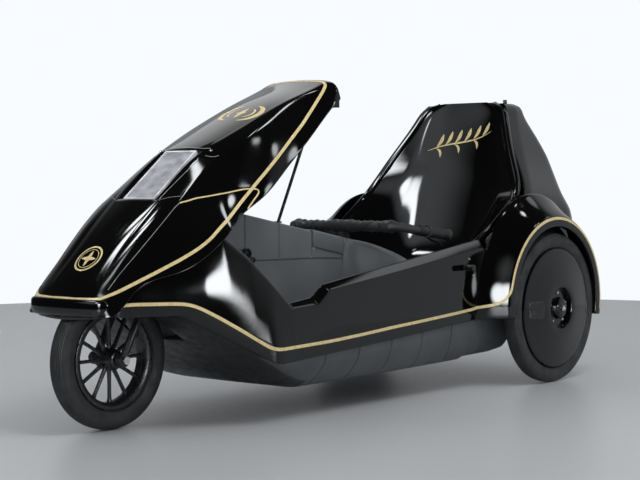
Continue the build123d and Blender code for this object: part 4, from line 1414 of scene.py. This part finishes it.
# %% Rear discs
DISC = [(0, 14), (12, 14), (44, 14), (110, 13), (158, 14), (161, 16.5), (162, 19.5),
        (160.5, 22), (157, 23.2), (150, 24.2), (125, 29.2), (100, 33.6), (78, 37), (60, 39),
        (56, 38.4), (54, 35), (53, 25), (30, 25), (28, 27), (27, 37), (24, 40), (16, 41.5),
        (0, 41.5)]
NUT = [(0, 41), (7.5, 41), (8, 42), (8, 45), (7, 46), (4.2, 46), (4, 45.5), (0, 45.5)]
BOLTS, BOLT_R, BOLT_X, BOLT_HEAD_R = 5, 41.0, 26.0, 4.2
DOME_R, DOME_X = 58, 22     # the disc's dome lies beyond both
HATCH = (-140.0, -84.0, -22.0, 23.0)     # along and up from the hub, low and high
HATCH_EDGE, HATCH_UP, HATCH_UNDER = 1.5, 1.6, -2.0


def hatch_plate(name, side, material):
    """A square plate with bevelled edges that lies on the dome of a disc."""
    def spread_over(low, high, count):
        inner = np.linspace(low + 4, high - 4, count)
        return low, low + HATCH_EDGE, *inner, high - HATCH_EDGE, high

    y0, y1, z0, z1 = HATCH
    outlines = []
    for y in spread_over(y0, y1, 10):
        edge = 0.0 if y in (y0, y1) else HATCH_UP
        row = [(z, edge if z0 < z < z1 else 0.0) for z in spread_over(z0, z1, 8)]
        row += [(z1, HATCH_UNDER), (z0, HATCH_UNDER)]
        outlines.append([Vector((side * (REAR_AXLE[0] + dome_at(math.hypot(y, z)) + lift),
                                 REAR_AXLE[1] + y, REAR_AXLE[2] + z)) for z, lift in row])
    return loft(name, outlines, material)


def dome_at(radius):
    """How far out the disc's skin stands at a radius."""
    line = sorted((r, x) for r, x in DISC if x > DOME_X and r > DOME_R)
    return float(np.interp(radius, *zip(*line)))


def dome_screw(name, at, way, radius):
    """A low domed fastener head that stands on a surface."""
    outlines = []
    way = Vector(way).normalized()
    side = way.orthogonal().normalized()
    other = way.cross(side)
    for share, height in ((1.0, -0.6), (1.0, 0.25), (0.86, 0.42), (0.55, 0.6), (0.12, 0.68)):
        outlines.append([Vector(at) + way * (height * radius)
                         + (side * math.cos(a) + other * math.sin(a)) * (share * radius)
                         for a in turns(16)])
    return loft(name, outlines, steel)


for side, hand in SIDES:
    at = rear_hub(side)
    disc = lathe(f"disc_{hand}", across(DISC, side), paint, at, REAR_PARTS)
    disc.name = f"rear_disc_{hand}"
    place(disc, f"rear_wheel_{hand}", "wheel_black", f"wheel_cover_{hand}")
    bright = [lathe(f"nut_{hand}", across(NUT, side), steel, at, 24)]
    for i in range(BOLTS):
        way = 2 * math.pi * (i + 0.25) / BOLTS
        spot = (side * (REAR_AXLE[0] + BOLT_X), REAR_AXLE[1] + BOLT_R * math.cos(way),
                REAR_AXLE[2] + BOLT_R * math.sin(way))
        bright.append(dome_screw(f"bolt_{i}", spot, (side, 0, 0), BOLT_HEAD_R))
    nuts = joined(f"rear_hub_bolts_{hand}", bright)
    place(nuts, f"rear_wheel_{hand}", "bright_steel")
    hatch = hatch_plate(f"valve_hatch_{hand}", side, satin)
    place(hatch, f"rear_wheel_{hand}", "wheel_black")
report(disc)

# %% [markdown]
# A dark liner stands behind each rear tyre and closes the arch against the body, so that
# no daylight or bright wall shows through the gap over the tyre.

# %% Wheel wells
WELL_X, WELL_PARTS = 303.0, 60
# radius and offset from WELL_X
WELL = [(206, 3), (232, 1), (232, 0), (120, -8), (120, -10), (206, -2)]


def well_section(angle):
    way = math.radians(angle)
    return [Vector((WELL_X + dx, ARCH_Y + r * math.cos(way), ARCH_Z + r * math.sin(way)))
            for r, dx in WELL]


well_angles = np.linspace(ARCH[0][0], ARCH[-1][0], WELL_PARTS)
for side, hand in SIDES:
    outlines = [to_side(well_section(a), side) for a in well_angles]
    well = loft(f"wheel_well_{hand}", outlines, casting)
    place(well, "body", "gloss_black")
report(well)

# %% [markdown]
# ## Gold lines
# The lines are tape laid on the finished panels. Each is a thin closed strip: a smoothed
# path is settled onto the panel's outer skin, and every point across the strip is settled
# again, so that the tape bends over corners as real tape does. A texture would blur at its
# edges, and a strip keeps them crisp from close by.

# %% Strips laid on a panel
TAPE_LIFT = 0.45
TAPE_THICK = 0.3
ACROSS = 5


def skin(*names):
    """A search tree, in mm, of the outer faces of one or more panels."""
    points, faces = [], []
    for name in names:
        sheet_points, faces_there = sheets[name]
        start = len(points)
        points += [tuple(p) for p in sheet_points]
        faces += [tuple(start + i for i in face) for face in faces_there]
    return BVHTree.FromPolygons(points, faces)


def settle(tree, point, inside):
    """The nearest place on a skin and the direction out of it, away from an inner point."""
    if callable(inside):
        inside = inside(point)
    spot, normal, _, _ = tree.find_nearest(point)
    return (spot, normal) if normal.dot(spot - inside) > 0 else (spot, -normal)


def smooth_path(points, step, calm, loop=False):
    """Dense points along a path, with its noise and corners calmed."""
    rows = np.array(points, float)
    if loop:
        rows = np.vstack([rows, rows[:1]])
    along = np.concatenate([[0], np.cumsum(np.linalg.norm(np.diff(rows, axis=0), axis=1))])
    count = int(along[-1] / step)
    at = np.linspace(0, along[-1], count + 1)
    dense = np.stack([np.interp(at, along, rows[:, c]) for c in range(3)], axis=1)
    if loop:
        dense = dense[:-1]
    for _ in range(calm):
        if loop:
            dense = 0.5 * dense + 0.25 * (np.roll(dense, 1, 0) + np.roll(dense, -1, 0))
        else:
            dense[1:-1] = 0.5 * dense[1:-1] + 0.25 * (dense[:-2] + dense[2:])
    return [Vector(p) for p in dense]


def strip(name, path, widths, tree, inside, material, loop=False, lift=TAPE_LIFT):
    """A closed thin strip that follows a path on a skin. Widths may change along it."""
    inside = inside if callable(inside) else Vector(inside)
    count = len(path)
    widths = np.broadcast_to(widths, count)
    outlines = []
    for i, point in enumerate(path):
        before = path[i - 1] if i or loop else path[0]
        after = path[(i + 1) % count] if i < count - 1 or loop else path[-1]
        spot, normal = settle(tree, point, inside)
        side = (after - before).normalized().cross(normal).normalized()
        top, bottom = [], []
        for share in np.linspace(-0.5, 0.5, ACROSS):
            place_, out = settle(tree, spot + side * float(share * widths[i]), inside)
            top.append(place_ + out * lift)
            bottom.append(place_ + out * (lift - TAPE_THICK))
        outlines.append(top + bottom[::-1])
    if loop:
        outlines.append(outlines[0])
    return loft(name, outlines, material, close_ends=not loop)


# %% [markdown]
# The main line is one closed loop round the hood. Its points are laid on the left half,
# and the right half is the same points turned over.

# %% Line round the hood
HOOD_LINE = [
    (0, -847, 303), (42, -845, 302), (86, -838, 303), (104, -831, 304), (117, -820, 311),
    (127, -806, 317), (141, -773, 333), (153, -737, 349), (166, -701, 366), (177, -663, 383),
    (189, -625, 403), (196, -607, 415), (203, -589, 430), (205, -564, 451), (202, -537, 468),
    (184, -478, 503), (169, -413, 543), (164, -367, 575), (156, -313, 613), (145, -257, 652),
    (132, -198, 691), (120, -145, 732), (112, -98, 773), (105, -76, 792), (83, -65, 802),
    (26, -64, 806),
]
UNDER_HOOD = (0, -400, 300)
hood_skin = skin("hood_moulding")
other_half = [(-x, y, z) for x, y, z in reversed(HOOD_LINE[1:])]
hood_path = smooth_path(HOOD_LINE + other_half, 6, 3, loop=True)
hood_line = strip("hood_gold_line", hood_path, 7.6, hood_skin, UNDER_HOOD, gold, loop=True)
place(hood_line, "body", "gloss_black")
report(hood_line)

# %% [markdown]
# A pinstripe starts as a pale thin line in the shoulder crease, which also paints the crease's
# highlight, and turns gold where it leaves the crease behind the lamp. It crosses the main line
# and hooks back at the hem.

# %% Pinstripes
HAIRLINE = [(108, -812, 323), (111, -780, 356), (118, -741, 394), (123, -701, 431),
            (126, -658, 470), (125, -622, 500), (126, -611, 507)]
PINSTRIPE = [(126, -611, 507), (131, -591, 511), (136, -570, 517), (149, -532, 522),
             (160, -492, 528), (166, -444, 536), (171, -422, 537), (176, -405, 535),
             (181, -409, 527), (186, -432, 512), (195, -463, 491)]
# a pale grey whose thin lines paint highlights on the hood's crease and edges
edge_highlight_grey = make_satin("highlight_line", (0.30, 0.30, 0.28), 0.2, 0.3)
for points, width, material, name in ((HAIRLINE, 1.4, edge_highlight_grey, "hood_hairline"),
                                      (PINSTRIPE, 3.6, gold, "hood_pinstripe")):
    line = strip(f"{name}_left", smooth_path(points, 5, 2), width, hood_skin, UNDER_HOOD,
                 material)
    place_pair(line, f"{name}_right", "gloss_black")
    report(line)

# %% [markdown]
# The lower line runs from the nose along the crease of the side and over the wheel arch in
# one piece. Its last part is a plain arc, so it is worked out from the arch's own centre.

# %% Line along the side and over the arch
SIDE_LINE = [
    (130, -803, 289), (146, -778, 291), (164, -736, 290), (182, -694, 289), (192, -673, 288),
    (202, -652, 284), (212, -631, 275), (231, -589, 251), (251, -545, 223), (271, -502, 194),
    (279, -478, 179), (285, -455, 175), (287, -384, 177), (288, -278, 180), (289, -167, 186),
    (289, -50, 194), (290, 73, 201), (291, 201, 209), (291, 296, 216), (298, 311, 219),
    (320, 325, 223), (342, 336, 229), (355, 342, 236), (364, 347, 245), (369, 351, 256),
]
ARC_X, ARC_RADIUS = 371.5, 228.5
for degrees in range(168, -11, -4):
    way = math.radians(degrees)
    SIDE_LINE.append((ARC_X, ARCH_Y + ARC_RADIUS * math.cos(way),
                      ARCH_Z + ARC_RADIUS * math.sin(way)))


def inside_side(point):
    """A place inside the body: by the wheel's centre once the line has reached the arch."""
    return Vector((200, ARCH_Y, ARCH_Z) if point.y > 290 else (150, 100, 250))


side_skin = skin("body_side_left", "wheel_arch_shell_left")
side_line = strip("side_gold_line_left", smooth_path(SIDE_LINE, 6, 4), 7.6, side_skin,
                  inside_side, gold)
place_pair(side_line, "side_gold_line_right", "gloss_black")
report(side_line)

# %% [markdown]
# ## Headlamp
# A flat oblong lamp lies in the nose's slope. Its cover is one pale moulding: a smooth
# border and a fluted, cloudy window. Around it the nose is cut away over a black tray, so
# that the lamp can be taken out from above. All of it is laid out in the lamp's own plane.

# %% Headlamp
LAMP_FOOT = Vector((0, -620, 515))
LAMP_SLOPE = Vector((0, 139, 111)).normalized()
LAMP_OUT = Vector((0, -111, 139)).normalized()
LAMP_LONG = 177.9
LAMP_HALF = 50.5
BORDER = 4.2


def on_lamp(x, along, out):
    """A point given across, along and out of the lamp's plane."""
    return LAMP_FOOT + Vector((x, 0, 0)) + LAMP_SLOPE * along + LAMP_OUT * out


def lamp_rings(name, rings, material):
    """A closed skin through oblong rings of (half width, margin at the ends, height)."""
    outlines = []
    for half, margin, out in rings:
        ring = []
        for sx, sy in ((-1, 0), (1, 0), (1, 1), (-1, 1)):
            along = margin if sy == 0 else LAMP_LONG - margin
            ring.append(on_lamp(sx * half, along, out))
        outlines.append(ring)
    return loft(name, outlines, material)


# half width, margin at the ends, height out of the lamp's plane
TRAY = [(80, -9, -8.5), (80, -9, -7), (52, 0, -7.5), (52, 0, -30), (51, 1, -31.5),
        (53, -1, -31.5), (53.5, -1.5, -9)]
RIM_IN = BORDER + 0.6       # where the border's inner edge has turned down
BORDER_RINGS = [
    (LAMP_HALF - 1, 1, -14), (LAMP_HALF, 0, -13), (LAMP_HALF, 0, 0), (LAMP_HALF - 0.8, 0.8, 0.9),
    (LAMP_HALF - BORDER, BORDER, 0.9), (LAMP_HALF - RIM_IN, RIM_IN, 0.2),
    (LAMP_HALF - RIM_IN, RIM_IN, -2.5)]
tray = lamp_rings("lamp_tray", TRAY, satin)
place(tray, "body", "lamp_white", "headlamp_housing")
border = lamp_rings("lamp_border", BORDER_RINGS, white_trim)
place(border, "body", "lamp_white")


WINDOW_GAP, WINDOW_SUNK = 0.7, -0.8         # round the window, and under the border
WINDOW_COLUMNS, WINDOW_ROWS = 75, 26
FLUTE_UP, FLUTES_PER_MM = 0.35, 1.15        # the flutes' height, and radians for each mm
CLOUD_UP, CLOUD_LONG, CLOUD_WIDE = 0.4, 9.0, 11.0


def window_height(x, along):
    swirl = FLUTE_UP * math.sin(along / CLOUD_LONG)
    return (WINDOW_SUNK + FLUTE_UP * math.cos(x * FLUTES_PER_MM)
            + CLOUD_UP * swirl * math.sin(x / CLOUD_WIDE))


def fluted_window():
    """The window: a plate whose face rises and falls in shallow flutes."""
    edge = BORDER + WINDOW_GAP
    half = LAMP_HALF - BORDER - WINDOW_GAP
    xs = np.linspace(-half, half, WINDOW_COLUMNS)
    rows = [[on_lamp(x, along, window_height(x, along)) for x in xs]
            for along in np.linspace(edge, LAMP_LONG - BORDER - WINDOW_GAP, WINDOW_ROWS)]
    window = add_sheet("lamp_window", rows, lamp_cover, LAMP_FOOT - LAMP_OUT * 100)
    make_wall(window, 2.0, 0)
    return window


window = fluted_window()
place(window, "body", "lamp_lens", "headlamp_lens")
report(window)

# %% [markdown]
# Pale strips paint the highlights where the hood meets the tray: one follows the opening's side
# and its rear edge, and one runs on from the lamp's lower corner to the shoulder, where a fine
# crease catches the light.

# %% Painted edge highlights round the lamp
# pale strips that paint the highlights of edges and a crease: width, then points
LAMP_EDGE_HIGHLIGHTS = {
    "side": (1.3, [(73, -622, 516), (74, -604, 531), (76, -586, 544), (78, -566, 560),
                   (79.5, -545, 576), (80, -523, 592), (79.5, -509, 601), (76, -502, 608)]),
    "rear": (2.2, [(-55, -472, 633), (0, -472, 634), (40, -472, 632), (66, -468, 630),
                   (78, -462, 630)]),
    "crease": (0.9, [(60, -631, 511), (77, -623, 514), (94, -612, 517), (119, -596, 522)]),
    "hook": (1.4, [(84, -486, 613), (92, -482, 611), (101, -477, 610), (108, -466, 614)]),
}
for key, (width, points) in LAMP_EDGE_HIGHLIGHTS.items():
    line = strip(f"lamp_edge_highlight_{key}", smooth_path(points, 4, 2), width, hood_skin,
                 UNDER_HOOD, edge_highlight_grey)
    place(line, "body", "gloss_black")
    if key != "rear":
        place(mirror_copy(line, f"lamp_edge_highlight_{key}_right"), "body", "gloss_black")


HOOD_SCREW_AT, HOOD_SCREW_R = (84, -466, 626), 3.4
spot, out = settle(hood_skin, Vector(HOOD_SCREW_AT), Vector(UNDER_HOOD))
parts = [dome_screw(f"screw_{hand}", *to_side((spot, out), side), HOOD_SCREW_R)
         for side, hand in SIDES]
screws = joined("hood_screws", parts)
place(screws, "body", "bright_steel")
report(screws)

# %% [markdown]
# ## Ornaments
# Three plain gold ornaments, without letters, stand where such vehicles carry their marks:
# a ringed star on the nose, a wreath on the hood's top and a sprig on the seat's back. Each
# is a few strips whose width swells and tapers along a curve.

# %% Ornaments
UPPER_LIFT = TAPE_LIFT + 0.12       # for a stroke that crosses another


def leaf_widths(count, width, tip=0.4):
    """Widths that swell from a tip to a middle and back."""
    return [tip + (width - tip) * math.sin(math.pi * i / (count - 1))**0.8
            for i in range(count)]


class Plane:
    """A flat layout near a skin, with its own x and y directions in mm."""

    def __init__(self, centre, right, up, tree, inside):
        self.centre, self.right = Vector(centre), Vector(right).normalized()
        self.up = Vector(up).normalized()
        self.tree, self.inside = tree, inside

    def at(self, x, y):
        return self.centre + self.right * x + self.up * y

    def ring(self, name, radius, width):
        path = [self.at(radius * math.cos(a), radius * math.sin(a)) for a in turns(64)]
        return strip(name, path, width, self.tree, self.inside, gold, loop=True)

    def leaf(self, name, points, width, lift=TAPE_LIFT):
        """A tapering stroke through a few points of the layout."""
        rows = stations([(x, y, 0) for x, y in points], 3)
        path = [self.at(x, y) for x, y, _ in rows]
        widths = leaf_widths(len(path), width)
        return strip(name, path, widths, self.tree, self.inside, gold, lift=lift)


def arc(x, y, radius, first, last, count=7):
    ways = np.radians(np.linspace(first, last, count))
    return [(x + radius * math.cos(a), y + radius * math.sin(a)) for a in ways]


nose = Plane((0, -770, 385), (1, 0, 0), (0, 0.70, 0.715), hood_skin, UNDER_HOOD)
badge = joined("nose_badge", [
    nose.ring("ring_a", 34.5, 4.6), nose.ring("ring_b", 26.5, 1.5),
    nose.leaf("star_a", [(0, -23), (0, 0), (0, 23)], 11),
    nose.leaf("star_b", [(-23, 0), (0, 0), (23, 0)], 11, UPPER_LIFT)])
place(badge, "body", "gloss_black")

hood_top = Plane((14, -288, 718), (1, 0, 0), (0, 0.92, 0.39), hood_skin, UNDER_HOOD)
strokes = [hood_top.leaf("wreath_a", arc(-10, 0, 46, 100, 262), 15),
           hood_top.leaf("wreath_b", arc(10, 0, 46, 80, -82), 15),
           hood_top.leaf("wreath_c", arc(-10, 0, 27, 110, 250), 7),
           hood_top.leaf("wreath_d", arc(10, 0, 27, 70, -70), 7),
           hood_top.leaf("wreath_e", [(0, -30), (0, 0), (0, 30)], 15),
           hood_top.leaf("wreath_f", [(-16, 0), (0, 0), (16, 0)], 9, UPPER_LIFT)]
wreath = joined("hood_ornament", strokes)
place(wreath, "body", "gloss_black")

seat_skin = skin("seat_moulding")
BEHIND_SEAT = (0, 1200, 300)
seat_back = Plane((-2, 655, 665), (1, 0, 0.05), (0, 0.2, 0.98), seat_skin, BEHIND_SEAT)
STEM = [(-108, -26), (-70, -14), (-30, -8), (20, -4), (70, 4), (112, 20)]
LEAF_ROOTS = ((-78, -16), (-48, -10), (-16, -7), (16, -4), (48, 1), (78, 7))
# steps from a leaf's root, then the widest width
LEAF_UP = [(0, 2), (12, 16), (20, 40)], 11.5
LEAF_LOW = [(0, -3), (14, -14), (16, -30)], 8
strokes = [seat_back.leaf("stem", STEM, 5)]
for i, (x, y) in enumerate(LEAF_ROOTS):
    for name, (steps, width) in (("up", LEAF_UP), ("low", LEAF_LOW))[:2 - i % 2]:
        strokes.append(seat_back.leaf(f"leaf_{name}_{i}", [(x + dx, y + dy) for dx, dy in steps],
                                      width, UPPER_LIFT))
sprig = joined("seat_ornament", strokes)
place(sprig, "body", "gloss_black")
print("ornaments:", badge.name, wreath.name, sprig.name)

# %% [markdown]
# ## Handlebar
# The bar is a bent steel tube under a wrapped foam sleeve, lumpy where the wrap overlaps.
# At each end it turns back into a moulded grip with fine rings and a domed end. The brake
# levers are cast: thin, curved, and hinged on a clamp at the front of each grip.

# %% Tubes along a line
def tube(name, points, radii, material, round_points=16):
    """A round bar along a line, with a radius for each point and closed ends."""
    points = [Vector(p) for p in points]
    outlines = []
    side = None
    for i, point in enumerate(points):
        along = (points[min(i + 1, len(points) - 1)] - points[max(i - 1, 0)]).normalized()
        side = along.orthogonal() if side is None else side - along * side.dot(along)
        side.normalize()
        other = along.cross(side)
        outlines.append([point + (side * math.cos(a) + other * math.sin(a)) * radii[i]
                         for a in turns(round_points)])
    return loft(name, outlines, material)


def walk(line, step):
    """Even points along a line, with the distance run at each."""
    line = [Vector(p) for p in line]
    runs = run_along(line)
    count = max(2, int(runs[-1] / step) + 1)
    at = np.linspace(0, runs[-1], count)
    xyz = [np.interp(at, runs, [p[k] for p in line]) for k in range(3)]
    return [Vector(p) for p in zip(*xyz)], at


# %% [markdown]
# The foam and the rings are only radii along a line: slow waves for the wrap, quick ones
# for the rings, and a quarter circle for the domed end.

# %% Bar, grips and levers
BAR_LINE = [(0, 120, 434), (150, 120, 434), (186, 122, 434), (190, 171, 425), (196, 316, 407)]
STEM_LINE, STEM_RADII = [(0, 116, 362), (0, 118, 380), (0, 120, 420)], [12.5, 12.5, 11.5]
SLEEVE_R, THIN_R, GRIP_R = 14.6, 11.6, 14.2
SLEEVE_END = 168.0          # how far from the middle the foam runs
GRIP_ENDS = [(192.5, 226, 418.5), (196, 325, 406)]
RING_PITCH, RING_DEPTH, COLLAR_UP, DOME = 7.5, 1.7, 2.2, 5.5
LEVER = [(190, 192, 431), (188, 214, 425), (184, 250, 396), (186, 284, 388), (189, 299, 379)]
LEVER_CORNERS = [0, 14, 26, 12, 0]
LEVER_AT, LEVER_RADII = [0, .12, .8, .9, 1], [5.5, 4.2, 3.1, 3.6, 3.9]
CLAMP, CLAMP_R = [(191, 190, 423), (191.6, 206, 421)], 14.5
middle = rounded([Vector(p) for p in BAR_LINE], [0, 0, 26, 40, 0])
half_line, half_run = walk(middle, 4.0)
radii = []
for at in half_run:
    lump = 2.2 * math.sin(at * 0.071) * math.sin(at * 0.023 + 1) + 1.1 * math.sin(at * 0.29)
    sleeve = SLEEVE_R + lump if at < SLEEVE_END else THIN_R + 0.4 * math.sin(at * 0.3)
    radii.append(max(sleeve, THIN_R))
bar = tube("handlebar_sleeve", mirrored(half_line), radii[:0:-1] + radii, foam)
stem = tube("handlebar_stem", STEM_LINE, STEM_RADII, foam)
place(joined("handlebar_foam", [bar, stem]), "handlebar", "bar_black", "handlebar")
grip_points, grip_run = walk(GRIP_ENDS, 1.5)
grip_radii = []
for at in grip_run:
    left = grip_run[-1] - at
    wave = 0.5 + 0.5 * math.cos(at * 2 * math.pi / RING_PITCH)
    ring = RING_DEPTH * wave if 8 < at and left > 12 else 0
    collar = COLLAR_UP if at < 5 or 6 < left < 10 else 0
    dome = math.sqrt(max(0.0, 1 - max(0.0, (DOME - left) / DOME) ** 2))
    grip_radii.append((GRIP_R - ring + collar) * (0.25 + 0.75 * dome if left < DOME else 1))
for side, hand in SIDES:
    grip = tube(f"grip_ribs_{hand}", to_side(grip_points, side), grip_radii, rubber)
    place(grip, "handlebar", "grip_black", f"grip_{hand}")
    lever_line, lever_run = walk(rounded(to_side(LEVER, side), LEVER_CORNERS), 4.0)
    lever_radii = [float(np.interp(r / lever_run[-1], LEVER_AT, LEVER_RADII))
                   for r in lever_run]
    lever = tube(f"lever_blade_{hand}", lever_line, lever_radii, casting, 12)
    clamp = tube(f"lever_clamp_{hand}", to_side(CLAMP, side), [CLAMP_R, CLAMP_R], casting)
    place(joined(f"brake_lever_casting_{hand}", [lever, clamp]), "handlebar", "bar_black",
          f"brake_lever_{hand}")
report(grip)

# %% [markdown]
# ## Boot lid and its hinges
# The boot lid is a skin of its own on two hinge barrels, which turn with it. The pins stay
# on the body.

# %% Lid and hinge barrels
BARREL_X, BARREL_HALF, BARREL_R = 75, 15, 3.2
HINGE_Y, HINGE_Z = 867, 448
barrels = []
for x in (-BARREL_X, BARREL_X):
    ends = [(x - BARREL_HALF, HINGE_Y, HINGE_Z), (x + BARREL_HALF, HINGE_Y, HINGE_Z)]
    barrels.append(tube("barrel", ends, [BARREL_R, BARREL_R], casting, 16))
place(lid, "luggage_lid", "gloss_black", "luggage_lid")
place(joined("boot_lid_barrels", barrels), "luggage_lid", "gloss_black")
report(lid)

# %% [markdown]
# ### Small castings
# A turned boss closes the crank's bearing on each side of the tunnel, with a small ring
# before it. Two screws hold each side peg, and a plug shuts the mast's socket.

# %% Crank bearing, pegs and the mast socket
BOSS_AT, BOSS = (0, -291, 377), [
    (0, 34), (5, 34), (6, 33.5), (6, 31), (9, 31), (10, 32), (10, 36), (12.5, 36.5), (14, 35),
    (14, 22)]
RING_AT, RING = (0, -264, 361), [
    (4.5, 24), (4.5, 27.5), (5.5, 28.5), (7.5, 28.5), (8.5, 27.5), (8.5, 24)]
PEG_SCREW_X, PEG_SCREW_R = 290.6, 2.6
PEG_SCREWS = ((281, 347.4), (296.5, 303.3))     # y z of each
PLUG_AT, PLUG = (120, 706), [(0, 766), (5.5, 766), (5.5, 779), (4.5, 780.5), (0, 780.5)]
TINY = 0.01                 # the least radius, so that no outline shrinks to a point


def lathe_up(name, profile, material, at, round_points):
    """Revolve (radius, height) points about an upright line."""
    outlines = [[Vector((at[0] + max(r, TINY) * math.cos(a),
                         at[1] + max(r, TINY) * math.sin(a), z)) for a in turns(round_points)]
                for r, z in profile]
    return loft(name, outlines, material)


for side, hand in SIDES:
    pieces = [lathe("boss", across(BOSS, side), casting, BOSS_AT, 32),
              lathe("ring", across(RING, side), casting, RING_AT, 28)]
    place(joined(f"tunnel_bosses_{hand}", pieces), "body", "grey_shell")
    screws = [dome_screw(f"peg_screw_{i}", (side * PEG_SCREW_X, y, z), (side, 0, 0),
                         PEG_SCREW_R)
              for i, (y, z) in enumerate(PEG_SCREWS)]
    place(joined(f"peg_screws_{hand}", screws), "body", "bright_steel")
plug = lathe_up("mast_plug", PLUG, casting, PLUG_AT, 24)
place(plug, "body", "gloss_black", "mast_socket")
report(plug)

# %% [markdown]
# ## Floor
# A wide pale disc catches the soft shadow under the vehicle. It is part of the studio, so
# it is staged and not tied to any body.

# %% Floor
def make_floor():
    mesh = bpy.data.meshes.new("floor")
    work = bmesh.new()
    bmesh.ops.create_circle(work, cap_ends=True, segments=128, radius=FLOOR_RADIUS)
    work.to_mesh(mesh)
    work.free()
    mesh.materials.append(new_finish("floor", FLOOR_COLOUR, 0.35)[0])
    floor = bpy.data.objects.new("floor", mesh)
    scene.collection.objects.link(floor)


make_floor()
print("floor radius, m:", FLOOR_RADIUS)
